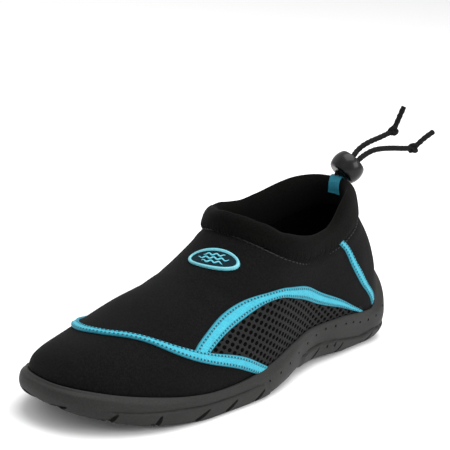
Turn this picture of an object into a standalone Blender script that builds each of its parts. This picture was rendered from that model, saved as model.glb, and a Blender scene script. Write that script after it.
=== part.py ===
"""Slip-on water shoe, right foot, standing empty on its sole.

Frame: metres, +Z up, the toe points to -Y, the wearer's inner side is +X and
the ground is Z = 0.  Working sizes below are millimetres.  "along" runs from
the heel end of the upper (0) to its toe end (1).
"""
import bpy
import bmesh
import math
from mathutils import Vector, Matrix

MM = 0.001

# ---- named sizes (mm) ------------------------------------------------------
LENGTH = 270.0          # upper's length where it meets the sole's rim
BALL = 95.0             # upper's width at the ball
INSTEP = 82.0           # height of the vamp's ridge in front of the collar
HEEL_HEIGHT = 102.0     # height of the collar's top at the back
SOLE_LENGTH = 281.0
HEEL_END = 140.0        # y of the sole's heel end
SOLE_WIDTH = 102.0
WALL = 2.6              # neoprene and lining
GAP = 0.3               # between pieces that meet
LIP = 2.0               # thickness of the rim's lip
COLLAR_THICK = 6.8
TAPE_WIDE, TAPE_THICK = 11.0, 1.0
CORD_DIA = 3.4
BEAD_LONG, BEAD_DEEP, BEAD_THICK = 20.5, 13.0, 20.5

STATIONS = 36           # along each side
ARCS = 18               # over the vamp

# ---- section tables --------------------------------------------------------
# upper at the sole's rim: along, inner and outer x in parts of BALL,
# inner and outer height in parts of INSTEP
RIM = [
    # along   inner   outer   zin    zout
    (0.000, -0.025, -0.025, 0.610, 0.610),
    (0.011,  0.125, -0.175, 0.500, 0.500),
    (0.034,  0.205, -0.255, 0.355, 0.365),
    (0.075,  0.268, -0.315, 0.268, 0.280),
    (0.143,  0.305, -0.345, 0.290, 0.280),
    (0.226,  0.322, -0.362, 0.308, 0.280),
    (0.338,  0.345, -0.388, 0.305, 0.262),
    (0.421,  0.402, -0.415, 0.272, 0.238),
    (0.508,  0.462, -0.442, 0.220, 0.212),
    (0.602,  0.502, -0.472, 0.186, 0.195),
    (0.695,  0.518, -0.478, 0.178, 0.190),
    (0.782,  0.506, -0.455, 0.200, 0.202),
    (0.857,  0.448, -0.395, 0.232, 0.228),
    (0.921,  0.358, -0.330, 0.262, 0.256),
    (0.962,  0.268, -0.262, 0.286, 0.280),
    (0.989,  0.166, -0.158, 0.300, 0.298),
    (1.000,  0.020,  0.020, 0.303, 0.303),
]
# ridge of the closed last: along, height in parts of INSTEP, x in parts of
# BALL, fullness sideways and upwards of the arch over the foot
RIDGE = [
    # along   high    x      side   up
    (0.000, 0.615, -0.025, 2.30, 2.30),
    (0.008, 0.670, -0.028, 2.30, 2.30),
    (0.023, 0.755, -0.032, 2.30, 2.35),
    (0.041, 0.855, -0.038, 2.30, 2.40),
    (0.053, 0.925, -0.040, 2.30, 2.40),
    (0.075, 1.010, -0.042, 2.30, 2.40),
    (0.100, 1.075, -0.040, 2.30, 2.35),
    (0.140, 1.160, -0.036, 2.30, 2.35),
    (0.200, 1.265, -0.025, 2.30, 2.35),
    (0.330, 1.340, -0.015, 2.25, 2.40),
    (0.440, 1.200, -0.005, 2.10, 2.20),
    (0.526, 1.010,  0.000, 2.00, 1.90),
    (0.594, 0.858,  0.005, 1.95, 1.80),
    (0.658, 0.770,  0.012, 1.95, 1.75),
    (0.733, 0.700,  0.025, 2.00, 1.75),
    (0.808, 0.615,  0.040, 2.05, 1.85),
    (0.883, 0.535,  0.052, 2.10, 2.00),
    (0.940, 0.482,  0.045, 2.10, 2.10),
    (0.974, 0.430,  0.035, 2.10, 2.20),
    (0.992, 0.365,  0.025, 2.10, 2.20),
    (1.000, 0.305,  0.020, 2.10, 2.20),
]
# outsole's widest line: along the sole, inner and outer x in parts of
# SOLE_WIDTH, ground clearance of the inner and outer bottom edge, height of
# the widest line over that edge and how far the edge is tucked in (mm)
TREAD = [
    # along   inner   outer   lift_in lift_out waist tuck
    (0.000, -0.020, -0.020, 2.0, 2.0, 17.0, 7.5),
    (0.010,  0.158, -0.190, 1.4, 1.4, 16.5, 7.0),
    (0.034,  0.245, -0.275, 0.5, 0.5, 14.5, 6.0),
    (0.062,  0.278, -0.310, 0.0, 0.0, 12.5, 5.8),
    (0.082,  0.288, -0.325, 0.0, 0.0, 11.5, 5.6),
    (0.154,  0.300, -0.350, 0.0, 0.0,  9.5, 5.2),
    (0.190,  0.308, -0.360, 0.3, 0.0,  9.0, 4.8),
    (0.234,  0.318, -0.372, 1.6, 0.8,  8.5, 4.2),
    (0.314,  0.326, -0.392, 3.4, 2.4,  7.0, 3.0),
    (0.380,  0.366, -0.410, 3.4, 3.0,  6.5, 3.0),
    (0.452,  0.436, -0.432, 2.0, 2.0,  6.5, 3.0),
    (0.520,  0.486, -0.462, 0.6, 0.6,  6.5, 3.0),
    (0.565,  0.500, -0.474, 0.0, 0.0,  6.5, 3.0),
    (0.710,  0.508, -0.487, 0.0, 0.0,  6.5, 2.8),
    (0.745,  0.504, -0.475, 0.4, 0.3,  6.5, 2.8),
    (0.772,  0.497, -0.464, 1.0, 0.9,  6.5, 2.8),
    (0.845,  0.458, -0.415, 3.4, 3.2,  6.5, 2.8),
    (0.910,  0.380, -0.350, 6.6, 6.3,  6.5, 3.0),
    (0.957,  0.288, -0.275, 9.4, 9.2,  6.5, 3.4),
    (0.989,  0.180, -0.165, 11.8, 11.6, 6.3, 4.0),
    (1.000,  0.030,  0.030, 12.8, 12.8, 6.0, 4.2),
]
# inside floor of the cup: along, height (mm)
FLOOR = [(0.0, 12.0), (0.06, 9.5), (0.2, 9.0), (0.38, 9.0), (0.55, 7.4),
         (0.72, 7.0), (0.83, 9.0), (0.93, 13.0), (1.0, 17.6)]
# line of the collar's seam in side view: along, height (mm)
SEAM = [(0.0, 77.5), (0.05, 76.5), (0.12, 74.0), (0.22, 71.5), (0.34, 68.5),
        (0.44, 74.5), (0.52, 84.5), (0.58, 92.0)]
# top of the collar: along, half width, centre x, height (mm)
COLLAR_TOP = [
    # along  half   mid    high
    (0.096,  0.0, -5.0, 102.0),
    (0.108,  9.5, -4.8, 102.0),
    (0.145, 18.0, -4.0, 101.0),
    (0.210, 24.0, -2.5,  96.5),
    (0.285, 27.5, -1.0,  90.5),
    (0.350, 29.0,  0.0,  87.0),
    (0.430, 27.0,  0.5,  89.5),
    (0.480, 20.5,  1.0,  95.0),
    (0.515, 11.0,  1.0,  98.0),
    (0.533,  0.0,  1.0,  99.0),
]
# collar band's section: part of its height, distance outwards from its
# middle in parts of half its thickness
BAND = [
    (0.00, -0.55), (0.00, 0.55), (0.07, 0.90), (0.22, 1.08), (0.45, 1.08),
    (0.68, 1.02), (0.84, 0.80), (0.95, 0.42), (1.00, 0.00), (0.95, -0.42),
    (0.84, -0.80), (0.66, -1.00), (0.40, -1.00), (0.15, -0.92),
]


# ---- small tools -----------------------------------------------------------
def look_up(table, column, where):
    """smooth value of a table's column; the ends are rounded like an arc"""
    lo, hi = table[0][0], table[-1][0]
    arc = lambda a: math.acos(max(-1.0, min(1.0, 1 - 2 * (a - lo) / (hi - lo))))
    knots = [arc(row[0]) for row in table]
    values = [row[column] for row in table]
    steps = [b - a for a, b in zip(knots, knots[1:])]
    rises = [(b - a) / s for a, b, s in zip(values, values[1:], steps)]
    slopes = [rises[0]]
    for i in range(1, len(values) - 1):
        a, b = rises[i - 1], rises[i]
        if a * b <= 0:
            slopes.append(0.0)
        else:
            m = (a * steps[i] + b * steps[i - 1]) / (steps[i] + steps[i - 1])
            most = 3 * min(abs(a), abs(b))
            slopes.append(math.copysign(min(abs(m), most), m))
    slopes.append(rises[-1])
    t = arc(where)
    k = 0
    while k < len(steps) - 1 and t > knots[k + 1]:
        k += 1
    h = steps[k]
    x = (t - knots[k]) / h
    return (values[k] * (1 + 2 * x) * (1 - x) ** 2
            + slopes[k] * h * x * (1 - x) ** 2
            + values[k + 1] * x * x * (3 - 2 * x)
            + slopes[k + 1] * h * x * x * (x - 1))


def straight(table, column, where):
    """value of a table's column, straight between rows"""
    for a, b in zip(table, table[1:]):
        if where <= b[0]:
            t = max(0.0, (where - a[0]) / (b[0] - a[0]))
            return a[column] + (b[column] - a[column]) * t
    return table[-1][column]


def eased(table, column, where):
    """value of a table's column on a smooth curve through the rows"""
    xs = [row[0] for row in table]
    ys = [row[column] for row in table]
    d = [(ys[i + 1] - ys[i]) / (xs[i + 1] - xs[i]) for i in range(len(xs) - 1)]
    m = [d[0]] + [0.0 if d[i - 1] * d[i] <= 0 else
                  2 * d[i - 1] * d[i] / (d[i - 1] + d[i])
                  for i in range(1, len(d))] + [d[-1]]
    where = max(xs[0], min(xs[-1], where))
    k = 0
    while k < len(d) - 1 and where > xs[k + 1]:
        k += 1
    h = xs[k + 1] - xs[k]
    x = (where - xs[k]) / h
    return (ys[k] * (1 + 2 * x) * (1 - x) ** 2 + m[k] * h * x * (1 - x) ** 2
            + ys[k + 1] * x * x * (3 - 2 * x) + m[k + 1] * h * x * x * (x - 1))


def y_at(along):
    return (0.5 - along) * LENGTH - 1.0


def round_steps(count):
    """0..1, close together at both ends"""
    return [0.5 - 0.5 * math.cos(math.pi * i / count) for i in range(count + 1)]


def last_point(along, turn, grow=0.0):
    """point of the closed last; turn 0 inner rim, 0.5 ridge, 1 outer rim"""
    xi = look_up(RIM, 1, along) * BALL
    xo = look_up(RIM, 2, along) * BALL
    zi = look_up(RIM, 3, along) * INSTEP
    zo = look_up(RIM, 4, along) * INSTEP
    top = look_up(RIDGE, 1, along) * INSTEP
    xt = look_up(RIDGE, 2, along) * BALL
    p = look_up(RIDGE, 3, along)
    q = look_up(RIDGE, 4, along)
    c, s = math.cos(math.pi * turn), math.sin(math.pi * turn)
    side = math.copysign(abs(c) ** (2 / p), c)
    up = abs(s) ** (2 / q)
    mid, half = (xi + xo) / 2, (xi - xo) / 2
    x = mid + half * side + (xt - mid) * up * up * (1 - abs(side))
    foot = (zi + zo) / 2 + (zi - zo) / 2 * side
    return Vector((x, y_at(along), foot + (top - foot) * up))


def loop_of(inner, outer):
    """one closed loop from the rows of both sides, which share their ends"""
    return list(inner) + list(reversed(outer[1:-1]))


def plan_out(loop, distance):
    """the loop moved outwards in plan"""
    n = len(loop)
    moved = []
    for i, p in enumerate(loop):
        a, b = loop[i - 1], loop[(i + 1) % n]
        t = Vector((b.x - a.x, b.y - a.y))
        t.normalize()
        d = distance[i] if isinstance(distance, list) else distance
        # the loop runs heel, inner side, toe, outer side
        moved.append(Vector((p.x - t.y * d, p.y + t.x * d, p.z)))
    return moved


def rim_loop(count=STATIONS):
    rows = round_steps(count)
    inner = [last_point(a, 0.0) for a in rows]
    outer = [last_point(a, 1.0) for a in rows]
    return loop_of(inner, outer)


def floor_at(y):
    return eased(FLOOR, 1, max(0.0, min(1.0, 0.5 - (y + 1.0) / LENGTH)))


def cup_loops(levels, count=STATIONS):
    """the upper's outside from the cup's floor (0) to the rim (1)"""
    rim = rim_loop(count)
    base = plan_out(rim, -2.2)
    loops = []
    for t in levels:
        loop = []
        for r, b in zip(rim, base):
            low = floor_at(b.y) + GAP
            p = b.lerp(r, t)
            p.z = low + (r.z - low) * t
            loop.append(p)
        bulge = []
        for r in rim:
            high = max(0.0, min(1.0, (r.z / INSTEP - 0.30) / 0.3))
            back = high if r.y > 0 else 0.0
            bulge.append((0.35 + 3.0 * back) * math.sin(math.pi * t) ** 0.8
                         if 0 < t < 1 else 0.0)
        loops.append(plan_out(loop, bulge))
    return loops


def dome_rows(count=STATIONS, arcs=ARCS):
    """loops over the vamp, from above the rim up to the ridge"""
    rows = round_steps(count)
    loops = []
    for j in range(1, arcs // 2 + 1):
        turn = j / arcs
        inner = [last_point(a, turn) for a in rows]
        outer = [last_point(a, 1 - turn) for a in rows]
        loops.append((inner, outer))
    return loops


def new_object(name, bm, material=None):
    bmesh.ops.remove_doubles(bm, verts=bm.verts, dist=0.004 * MM)
    bmesh.ops.recalc_face_normals(bm, faces=bm.faces)
    mesh = bpy.data.meshes.new(name)
    bm.to_mesh(mesh)
    bm.free()
    obj = bpy.data.objects.new(name, mesh)
    bpy.context.scene.collection.objects.link(obj)
    if material:
        mesh.materials.append(material)
    return obj


def add_loop(bm, points):
    return [bm.verts.new(p * MM) for p in points]


def bridge(bm, a, b):
    n = len(a)
    for i in range(n):
        j = (i + 1) % n
        bm.faces.new((a[i], a[j], b[j], b[i]))


def fill_across(bm, loop, count, columns, height):
    """closes a loop by rows that run across the shoe"""
    n = 2 * count
    previous = [loop[0]] * (columns + 1)
    for i in range(1, count + 1):
        if i == count:
            row = [loop[count]] * (columns + 1)
        else:
            a, b = loop[i], loop[n - i]
            row = [a]
            for k in range(1, columns):
                p = a.co.lerp(b.co, k / columns)
                p.z = height(p / MM, a.co.z / MM, b.co.z / MM, k / columns) * MM
                row.append(bm.verts.new(p))
            row.append(b)
        for k in range(columns):
            ring = []
            for v in (previous[k], previous[k + 1], row[k + 1], row[k]):
                if v not in ring:
                    ring.append(v)
            if len(ring) > 2:
                bm.faces.new(ring)
        previous = row


def add_dome(bm, bottom, count, arcs=ARCS, grow=0.0):
    """closes the rim loop over the vamp; the ends of the rows are shared"""
    rows = dome_rows(count, arcs)
    heel, toe = bottom[0], bottom[count]
    last_in = bottom[:count + 1]
    last_out = [heel] + list(reversed(bottom[count + 1:])) + [toe]
    for j, (inner, outer) in enumerate(rows):
        ridge = j == len(rows) - 1
        row_in = [heel] + [bm.verts.new(p * MM) for p in inner[1:-1]] + [toe]
        row_out = row_in if ridge else (
            [heel] + [bm.verts.new(p * MM) for p in outer[1:-1]] + [toe])
        for low, high in ((last_in, row_in), (last_out, row_out)):
            for i in range(count):
                ring = []
                for v in (low[i], low[i + 1], high[i + 1], high[i]):
                    if v not in ring:
                        ring.append(v)
                if len(ring) > 2:
                    bm.faces.new(ring)
        last_in, last_out = row_in, row_out


def last_form(name, grow, count=STATIONS, arcs=ARCS, levels=(0.0, 0.35, 0.7, 1.0)):
    """the closed last, grown by a distance, as a cutter"""
    bm = bmesh.new()
    loops = [add_loop(bm, lp) for lp in cup_loops(levels, count)]
    for a, b in zip(loops, loops[1:]):
        bridge(bm, a, b)
    add_dome(bm, loops[-1], count, arcs)
    bmesh.ops.recalc_face_normals(bm, faces=bm.faces)
    bm.normal_update()
    if grow:
        moved = [(v, v.co + v.normal * grow * MM) for v in bm.verts]
        for v, co in moved:
            v.co = co
    fill_across(bm, loops[0], count, 4, lambda p, a, b, t: a + (b - a) * t)
    return new_object(name, bm)


def seam_prism(name, lift):
    """everything above the collar's seam line"""
    bm = bmesh.new()
    row = [-0.2] + [i / 60 * 0.6 for i in range(61)]
    sides = []
    for x in (-90.0, 90.0):
        line = [Vector((x, y_at(a), eased(SEAM, 1, max(0.0, a)) + lift)) for a in row]
        line += [Vector((x, y_at(row[-1]), 190.0)), Vector((x, y_at(row[0]), 190.0))]
        sides.append([bm.verts.new(p * MM) for p in line])
    bm.faces.new(sides[0])
    bm.faces.new(list(reversed(sides[1])))
    bridge(bm, sides[0], sides[1])
    return new_object(name, bm)


def cut(obj, cutter, operation="DIFFERENCE"):
    mod = obj.modifiers.new(cutter.name, "BOOLEAN")
    mod.operation = operation
    mod.solver = "EXACT"
    mod.object = cutter
    cutter.hide_render = True
    cutter.display_type = "WIRE"


def material(name, colour, roughness, metallic=0.0):
    m = bpy.data.materials.new(name)
    m.use_nodes = True
    shader = m.node_tree.nodes["Principled BSDF"]
    shader.inputs["Base Color"].default_value = (*colour, 1.0)
    shader.inputs["Roughness"].default_value = roughness
    shader.inputs["Metallic"].default_value = metallic
    return m


def hide(obj):
    obj.hide_render = True
    obj.display_type = "WIRE"


# ---- upper: one hollow shell, open underneath and at the collar ------------
def make_upper(mat):
    bm = bmesh.new()
    loops = [add_loop(bm, lp) for lp in cup_loops((0.0, 0.3, 0.65, 1.0))]
    for a, b in zip(loops, loops[1:]):
        bridge(bm, a, b)
    add_dome(bm, loops[-1], STATIONS)
    bmesh.ops.recalc_face_normals(bm, faces=bm.faces)
    bm.normal_update()
    shell_verts, shell_faces = list(bm.verts), list(bm.faces)
    base = set(loops[0])
    inside = {}
    for v in shell_verts:
        n = v.normal.copy()
        if v in base:
            n.z = 0.0
            n.normalize()
        inside[v] = bm.verts.new(v.co - n * WALL * MM)
    for f in shell_faces:
        bm.faces.new([inside[v] for v in reversed(f.verts)])
    n = len(loops[0])
    for i in range(n):
        a, b = loops[0][i], loops[0][(i + 1) % n]
        bm.faces.new((a, b, inside[b], inside[a]))
    upper = new_object("upper", bm, mat)
    cut(upper, seam_prism("above_the_seam", 0.0))
    return upper


# ---- outsole: cup with a thin lip, a raised heel and a grooved tread -------
def tread_loop(part, count=STATIONS):
    """loop round the sole: part 0 is the bottom edge, 1 the widest line"""
    inner, outer, tucks = [], [], []
    for a in round_steps(count):
        y = HEEL_END - SOLE_LENGTH * a
        waist = eased(TREAD, 5, a)
        tucks.append(eased(TREAD, 6, a) * (1 - math.sin(math.pi / 2 * part) ** 0.8))
        inner.append(Vector((look_up(TREAD, 1, a) * SOLE_WIDTH, y,
                             max(0.0, eased(TREAD, 3, a)) + part * waist)))
        outer.append(Vector((look_up(TREAD, 2, a) * SOLE_WIDTH, y,
                             max(0.0, eased(TREAD, 4, a)) + part * waist)))
    tucks = tucks + list(reversed(tucks[1:-1]))
    return plan_out(loop_of(inner, outer), [-t for t in tucks])


def groove_cutter():
    """the tread's main grooves: y of the middle, half width, slant, depth"""
    rows = [
        # along  slant  width  deep
        (0.932, 0.02, 2.2, 2.2),
        (0.852, -0.05, 2.3, 2.1),
        (0.757, -0.10, 2.2, 2.0),
        (0.671, -0.14, 2.4, 2.0),
        (0.582, -0.18, 2.4, 2.0),
        (0.262, 0.14, 2.0, 2.0),
        (0.212, 0.14, 2.0, 2.0),
        (0.162, 0.12, 2.0, 2.0),
        (0.112, 0.10, 2.0, 2.0),
    ]
    bm = bmesh.new()
    for along, slant, width, deep in rows:
        y = HEEL_END - SOLE_LENGTH * along
        y -= slant * 48  # the row's place is where it leaves the inner edge
        xi = look_up(TREAD, 1, along) * SOLE_WIDTH + 6
        xo = look_up(TREAD, 2, along) * SOLE_WIDTH - 6
        floor = 0.5 * (eased(TREAD, 3, along) + eased(TREAD, 4, along))
        # the middle part is shallow, both ends climb the side wall
        cols = [(xo, deep + 4.2), (xo + 9, deep + 1.2), (xo + 14, deep),
                (xi - 14, deep), (xi - 9, deep + 1.2), (xi, deep + 4.2)]
        rings = []
        for x, top in cols:
            yc = y + slant * x + (2.2 if x in (xi, xo) else 0.0)
            ring = [Vector((x, yc - width / 2, floor - 9)),
                    Vector((x, yc + width / 2, floor - 9)),
                    Vector((x, yc + width / 2 * 0.8, floor + top)),
                    Vector((x, yc - width / 2 * 0.8, floor + top))]
            rings.append([bm.verts.new(p * MM) for p in ring])
        for a, b in zip(rings, rings[1:]):
            bridge(bm, a, b)
        bm.faces.new(rings[0])
        bm.faces.new(list(reversed(rings[-1])))
    return new_object("tread_grooves", bm)


def make_outsole(mat):
    rim = rim_loop()
    n = len(rim)
    lip = plan_out(rim, GAP + LIP)
    widest = tread_loop(1.0)
    bm = bmesh.new()
    # underside edge, then up the outside
    loops = [tread_loop(part) for part in (0.0, 0.18, 0.5, 1.0)]
    for f, g, swell in ((0.90, 0.62, 0.5), (0.60, 0.30, 0.8)):
        ring = []
        for a, b in zip(lip, widest):
            p = a.lerp(b, f)
            p.z = a.z + (b.z - a.z) * g
            ring.append(p)
        loops.append(plan_out(ring, [swell * min(1.0, max(0.0, (a.z - b.z) / 18))
                                     for a, b in zip(lip, widest)]))
    loops.append([p - Vector((0, 0, 0.7)) for p in lip])
    loops.append([p + Vector((0, 0, 0.3)) for p in plan_out(rim, GAP + LIP * 0.55)])
    loops.append([p - Vector((0, 0, 0.1)) for p in plan_out(rim, GAP)])
    # down the inside, clear of the upper
    for lp in reversed(cup_loops((0.0, 0.3, 0.65))):
        loops.append(plan_out(lp, GAP))
    loops[-1] = [Vector((p.x, p.y, floor_at(p.y))) for p in loops[-1]]
    made = [add_loop(bm, lp) for lp in loops]
    for a, b in zip(made, made[1:]):
        bridge(bm, a, b)
    fill_across(bm, made[0], STATIONS, 6, lambda p, a, b, t: a + (b - a) * t)
    fill_across(bm, made[-1], STATIONS, 6, lambda p, a, b, t: floor_at(p.y))
    sole = new_object("outsole", bm, mat)
    cut(sole, groove_cutter())
    return sole


def make_insole(mat):
    rim = rim_loop()
    base = plan_out(plan_out(rim, -2.2), -(WALL + 0.7))
    bm = bmesh.new()
    low = [Vector((p.x, p.y, floor_at(p.y) + GAP)) for p in base]
    mid = [Vector((p.x, p.y, floor_at(p.y) + GAP + 2.6)) for p in base]
    top = [Vector((p.x, p.y, floor_at(p.y) + GAP + 3.2)) for p in plan_out(base, -0.8)]
    made = [add_loop(bm, lp) for lp in (low, mid, top)]
    bridge(bm, made[0], made[1])
    bridge(bm, made[1], made[2])
    fill_across(bm, made[0], STATIONS, 6, lambda p, a, b, t: floor_at(p.y) + GAP)
    fill_across(bm, made[2], STATIONS, 6, lambda p, a, b, t: floor_at(p.y) + GAP + 3.2)
    return new_object("insole", bm, mat)


# ---- collar: a padded band all round the opening ---------------------------
COLLAR_STEPS = 22


def seam_ends():
    """where the seam line meets the ridge behind and in front of the foot"""
    ends = []
    for lo, hi in ((0.0, 0.2), (0.62, 0.4)):
        for _ in range(40):
            mid = (lo + hi) / 2
            if look_up(RIDGE, 1, mid) * INSTEP < eased(SEAM, 1, mid):
                lo = mid
            else:
                hi = mid
        ends.append((lo + hi) / 2)
    return ends


def seam_loop(steps=COLLAR_STEPS):
    back, front = seam_ends()
    sides = []
    for outer in (False, True):
        side = []
        for r in round_steps(steps):
            a = back + (front - back) * r
            want = eased(SEAM, 1, a)
            lo, hi = 0.0, 0.5
            for _ in range(40):
                mid = (lo + hi) / 2
                if last_point(a, 1 - mid if outer else mid).z < want:
                    lo = mid
                else:
                    hi = mid
            side.append(last_point(a, 1 - lo if outer else lo))
        sides.append(side)
    return loop_of(*sides)


def top_loop(steps=COLLAR_STEPS):
    lo, hi = COLLAR_TOP[0][0], COLLAR_TOP[-1][0]
    inner, outer = [], []
    for r in round_steps(steps):
        a = lo + (hi - lo) * r
        half = look_up(COLLAR_TOP, 1, a)
        mid = eased(COLLAR_TOP, 2, a)
        high = eased(COLLAR_TOP, 3, a)
        inner.append(Vector((mid + half, y_at(a), high)))
        outer.append(Vector((mid - half, y_at(a), high)))
    return loop_of(inner, outer)


def collar_frames(steps=COLLAR_STEPS):
    """foot of the band, its way up and its way out at every station"""
    seam = plan_out(seam_loop(steps), -WALL / 2)
    top = top_loop(steps)
    middle = [(a + b) / 2 for a, b in zip(seam, top)]
    outward = [(b - a) for a, b in zip(middle, plan_out(middle, 1.0))]
    frames = []
    for s, t, o in zip(seam, top, outward):
        up = t - s
        high = up.length
        up.normalize()
        out = o - up * o.dot(up)
        out.normalize()
        frames.append((s, up, out, high))
    return frames


def band_section(frame, rows, start=-1.2, stand=0.0):
    s, up, out, high = frame
    half = COLLAR_THICK / 2
    points = []
    for a, b in rows:
        points.append(s + up * (start + (high - start) * a) + out * (half * b))
    if stand:
        flat = [((p - s).dot(up), (p - s).dot(out)) for p in points]
        moved = []
        for i, (a, b) in enumerate(flat):
            j, k = max(i - 1, 0), min(i + 1, len(flat) - 1)
            da, db = flat[k][0] - flat[j][0], flat[k][1] - flat[j][1]
            size = math.hypot(da, db)
            moved.append(s + up * (a + db / size * stand) - out * (da / size * stand - b))
        points = moved
    return points


def make_collar(mat):
    bm = bmesh.new()
    rings = [[bm.verts.new(p * MM) for p in band_section(f, BAND)]
             for f in collar_frames()]
    for i, ring in enumerate(rings):
        bridge(bm, ring, rings[(i + 1) % len(rings)])
    collar = new_object("collar", bm, mat)
    keep = last_form("upper_grown", GAP)
    cut(keep, seam_prism("above_the_gap", GAP))
    cut(collar, keep)
    hide(keep)
    return collar


def make_tape(mat):
    """webbing that wraps the collar's back, from inside to outside"""
    frames = collar_frames()
    n = len(frames)
    rows = [(0.34, -1.01), (0.50, -1.00), (0.66, -1.00), (0.84, -0.80), (0.95, -0.42),
            (1.00, 0.00), (0.95, 0.42), (0.84, 0.80), (0.76, 0.91)]
    bm = bmesh.new()
    rings = []
    for k in (-1.25, -1, 0, 1, 1.25):
        # a part step lies on the band's own facet
        low = int(k) if k >= 0 else -int(-k)
        next_one = low + (1 if k >= 0 else -1)
        part = abs(k - low)
        ring = []
        for stand in (GAP + 0.05, GAP + 0.05 + TAPE_THICK):
            a = band_section(frames[low % n], rows, stand=stand)
            b = band_section(frames[next_one % n], rows, stand=stand)
            line = [p.lerp(q, part) for p, q in zip(a, b)]
            ring += line if not ring else list(reversed(line))
        rings.append([bm.verts.new(p * MM) for p in ring])
    for a, b in zip(rings, rings[1:]):
        bridge(bm, a, b)
    for ring, flip in ((rings[0], False), (rings[-1], True)):
        half = len(ring) // 2
        for i in range(half - 1):
            quad = [ring[i], ring[i + 1], ring[-2 - i], ring[-1 - i]]
            bm.faces.new(list(reversed(quad)) if flip else quad)
    return new_object("heel_tape", bm, mat)


# ---- oval badge on the vamp ------------------------------------------------
BADGE = {"along": 0.572, "x": 8.7, "long": 30.7, "wide": 16.4, "turn": 0.36}


def ridge_frame(along, x):
    """point of the last under x, and its normal"""
    best, turn = None, 0.5
    for i in range(200):
        t = 0.25 + 0.5 * i / 199
        p = last_point(along, t)
        if best is None or abs(p.x - x) < abs(best.x - x):
            best, turn = p, t
    e = 0.004
    du = last_point(along + e, turn) - last_point(along - e, turn)
    dv = last_point(along, turn + e) - last_point(along, turn - e)
    normal = dv.cross(du)
    normal.normalize()
    if normal.z < 0:
        normal.negate()
    return best, normal


def make_badge(mat):
    point, normal = ridge_frame(BADGE["along"], BADGE["x"])
    across = Vector((1, 0, 0)) - normal * normal.x
    across.normalize()
    up = normal.cross(across)
    c, s = math.cos(BADGE["turn"]), math.sin(BADGE["turn"])
    ax, ay = across * c + up * s, up * c - across * s
    bm = bmesh.new()
    rings = []
    for depth in (-14.0, 8.0):
        ring = []
        for i in range(40):
            t = 2 * math.pi * i / 40
            p = (point + ax * (BADGE["long"] / 2 * math.cos(t))
                 + ay * (BADGE["wide"] / 2 * math.sin(t)) + normal * depth)
            ring.append(bm.verts.new(p * MM))
        rings.append(ring)
    bridge(bm, rings[0], rings[1])
    bm.faces.new(rings[0])
    bm.faces.new(list(reversed(rings[1])))
    badge = new_object("badge", bm, mat)
    outer = last_form("badge_outside", GAP + 1.3, 36, 40)
    inner = last_form("badge_inside", GAP, 36, 40)
    hide(outer)
    hide(inner)
    cut(badge, outer, "INTERSECT")
    cut(badge, inner)
    return badge


# ---- cord stop and the drawcord's two ends ---------------------------------
BEAD_AT = Vector((-2.5, 114.8, 109.0))
BEAD_AXIS = Vector((0.25, 0.68, 0.69))
CORD_APART = 4.8


def bead_axes():
    d = BEAD_AXIS.normalized()
    x = Vector((0.95, 0.0, -0.30))
    x = x - d * x.dot(d)
    x.normalize()
    return x, d, x.cross(d)


def make_bead(mat):
    x, d, e = bead_axes()
    rows = [(-1.0, 0.62), (-0.95, 0.70), (-0.75, 0.85), (-0.4, 0.965), (0.0, 1.0),
            (0.4, 0.965), (0.75, 0.85), (0.95, 0.70), (1.0, 0.62)]
    bm = bmesh.new()
    rings = []
    for t, size in rows:
        ring = []
        for i in range(24):
            a = 2 * math.pi * i / 24
            c, s = math.cos(a), math.sin(a)
            px = c * BEAD_LONG / 2 * size
            pe = s * BEAD_THICK / 2 * size
            ring.append(bm.verts.new((BEAD_AT + x * px + e * pe
                                      + d * (t * BEAD_DEEP / 2)) * MM))
        rings.append(ring)
    for a, b in zip(rings, rings[1:]):
        bridge(bm, a, b)
    bm.faces.new(rings[0])
    bm.faces.new(list(reversed(rings[-1])))
    bead = new_object("cord_stop", bm, mat)
    bores = bmesh.new()
    for side in (-1, 1):
        rings = []
        for t in (-BEAD_DEEP, BEAD_DEEP):
            ring = []
            for i in range(16):
                a = 2 * math.pi * i / 16
                r = CORD_DIA / 2 + 0.4
                ring.append(bores.verts.new((BEAD_AT + x * (side * CORD_APART / 2 + r * math.cos(a))
                                             + e * (r * math.sin(a)) + d * t) * MM))
            rings.append(ring)
        bridge(bores, rings[0], rings[1])
        bores.faces.new(rings[0])
        bores.faces.new(list(reversed(rings[1])))
    cut(bead, new_object("bores", bores))
    return bead


# free route of each end from the bead: x, y, height (mm)
CORD_UPPER = [
    (-4.9, 126.0, 117.0), (-4.2, 131.0, 120.0), (-3.0, 137.3, 122.4),
    (-1.5, 144.4, 124.4), (0.0, 151.3, 126.7), (0.9, 155.0, 128.6),
    (1.5, 156.6, 131.8), (2.6, 158.3, 137.6), (3.8, 160.4, 144.2),
]
CORD_LOWER = [
    (0.3, 128.4, 115.5), (1.6, 134.7, 117.6), (3.2, 141.9, 118.2),
    (5.4, 151.3, 117.9), (7.4, 159.1, 117.3), (9.4, 167.2, 117.2),
    (10.8, 170.4, 119.6), (12.6, 175.3, 123.7), (14.8, 181.1, 127.6),
]
KNOTS = {"upper": (0.9, 155.0, 128.9), "lower": (9.5, 167.4, 117.6)}


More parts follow.
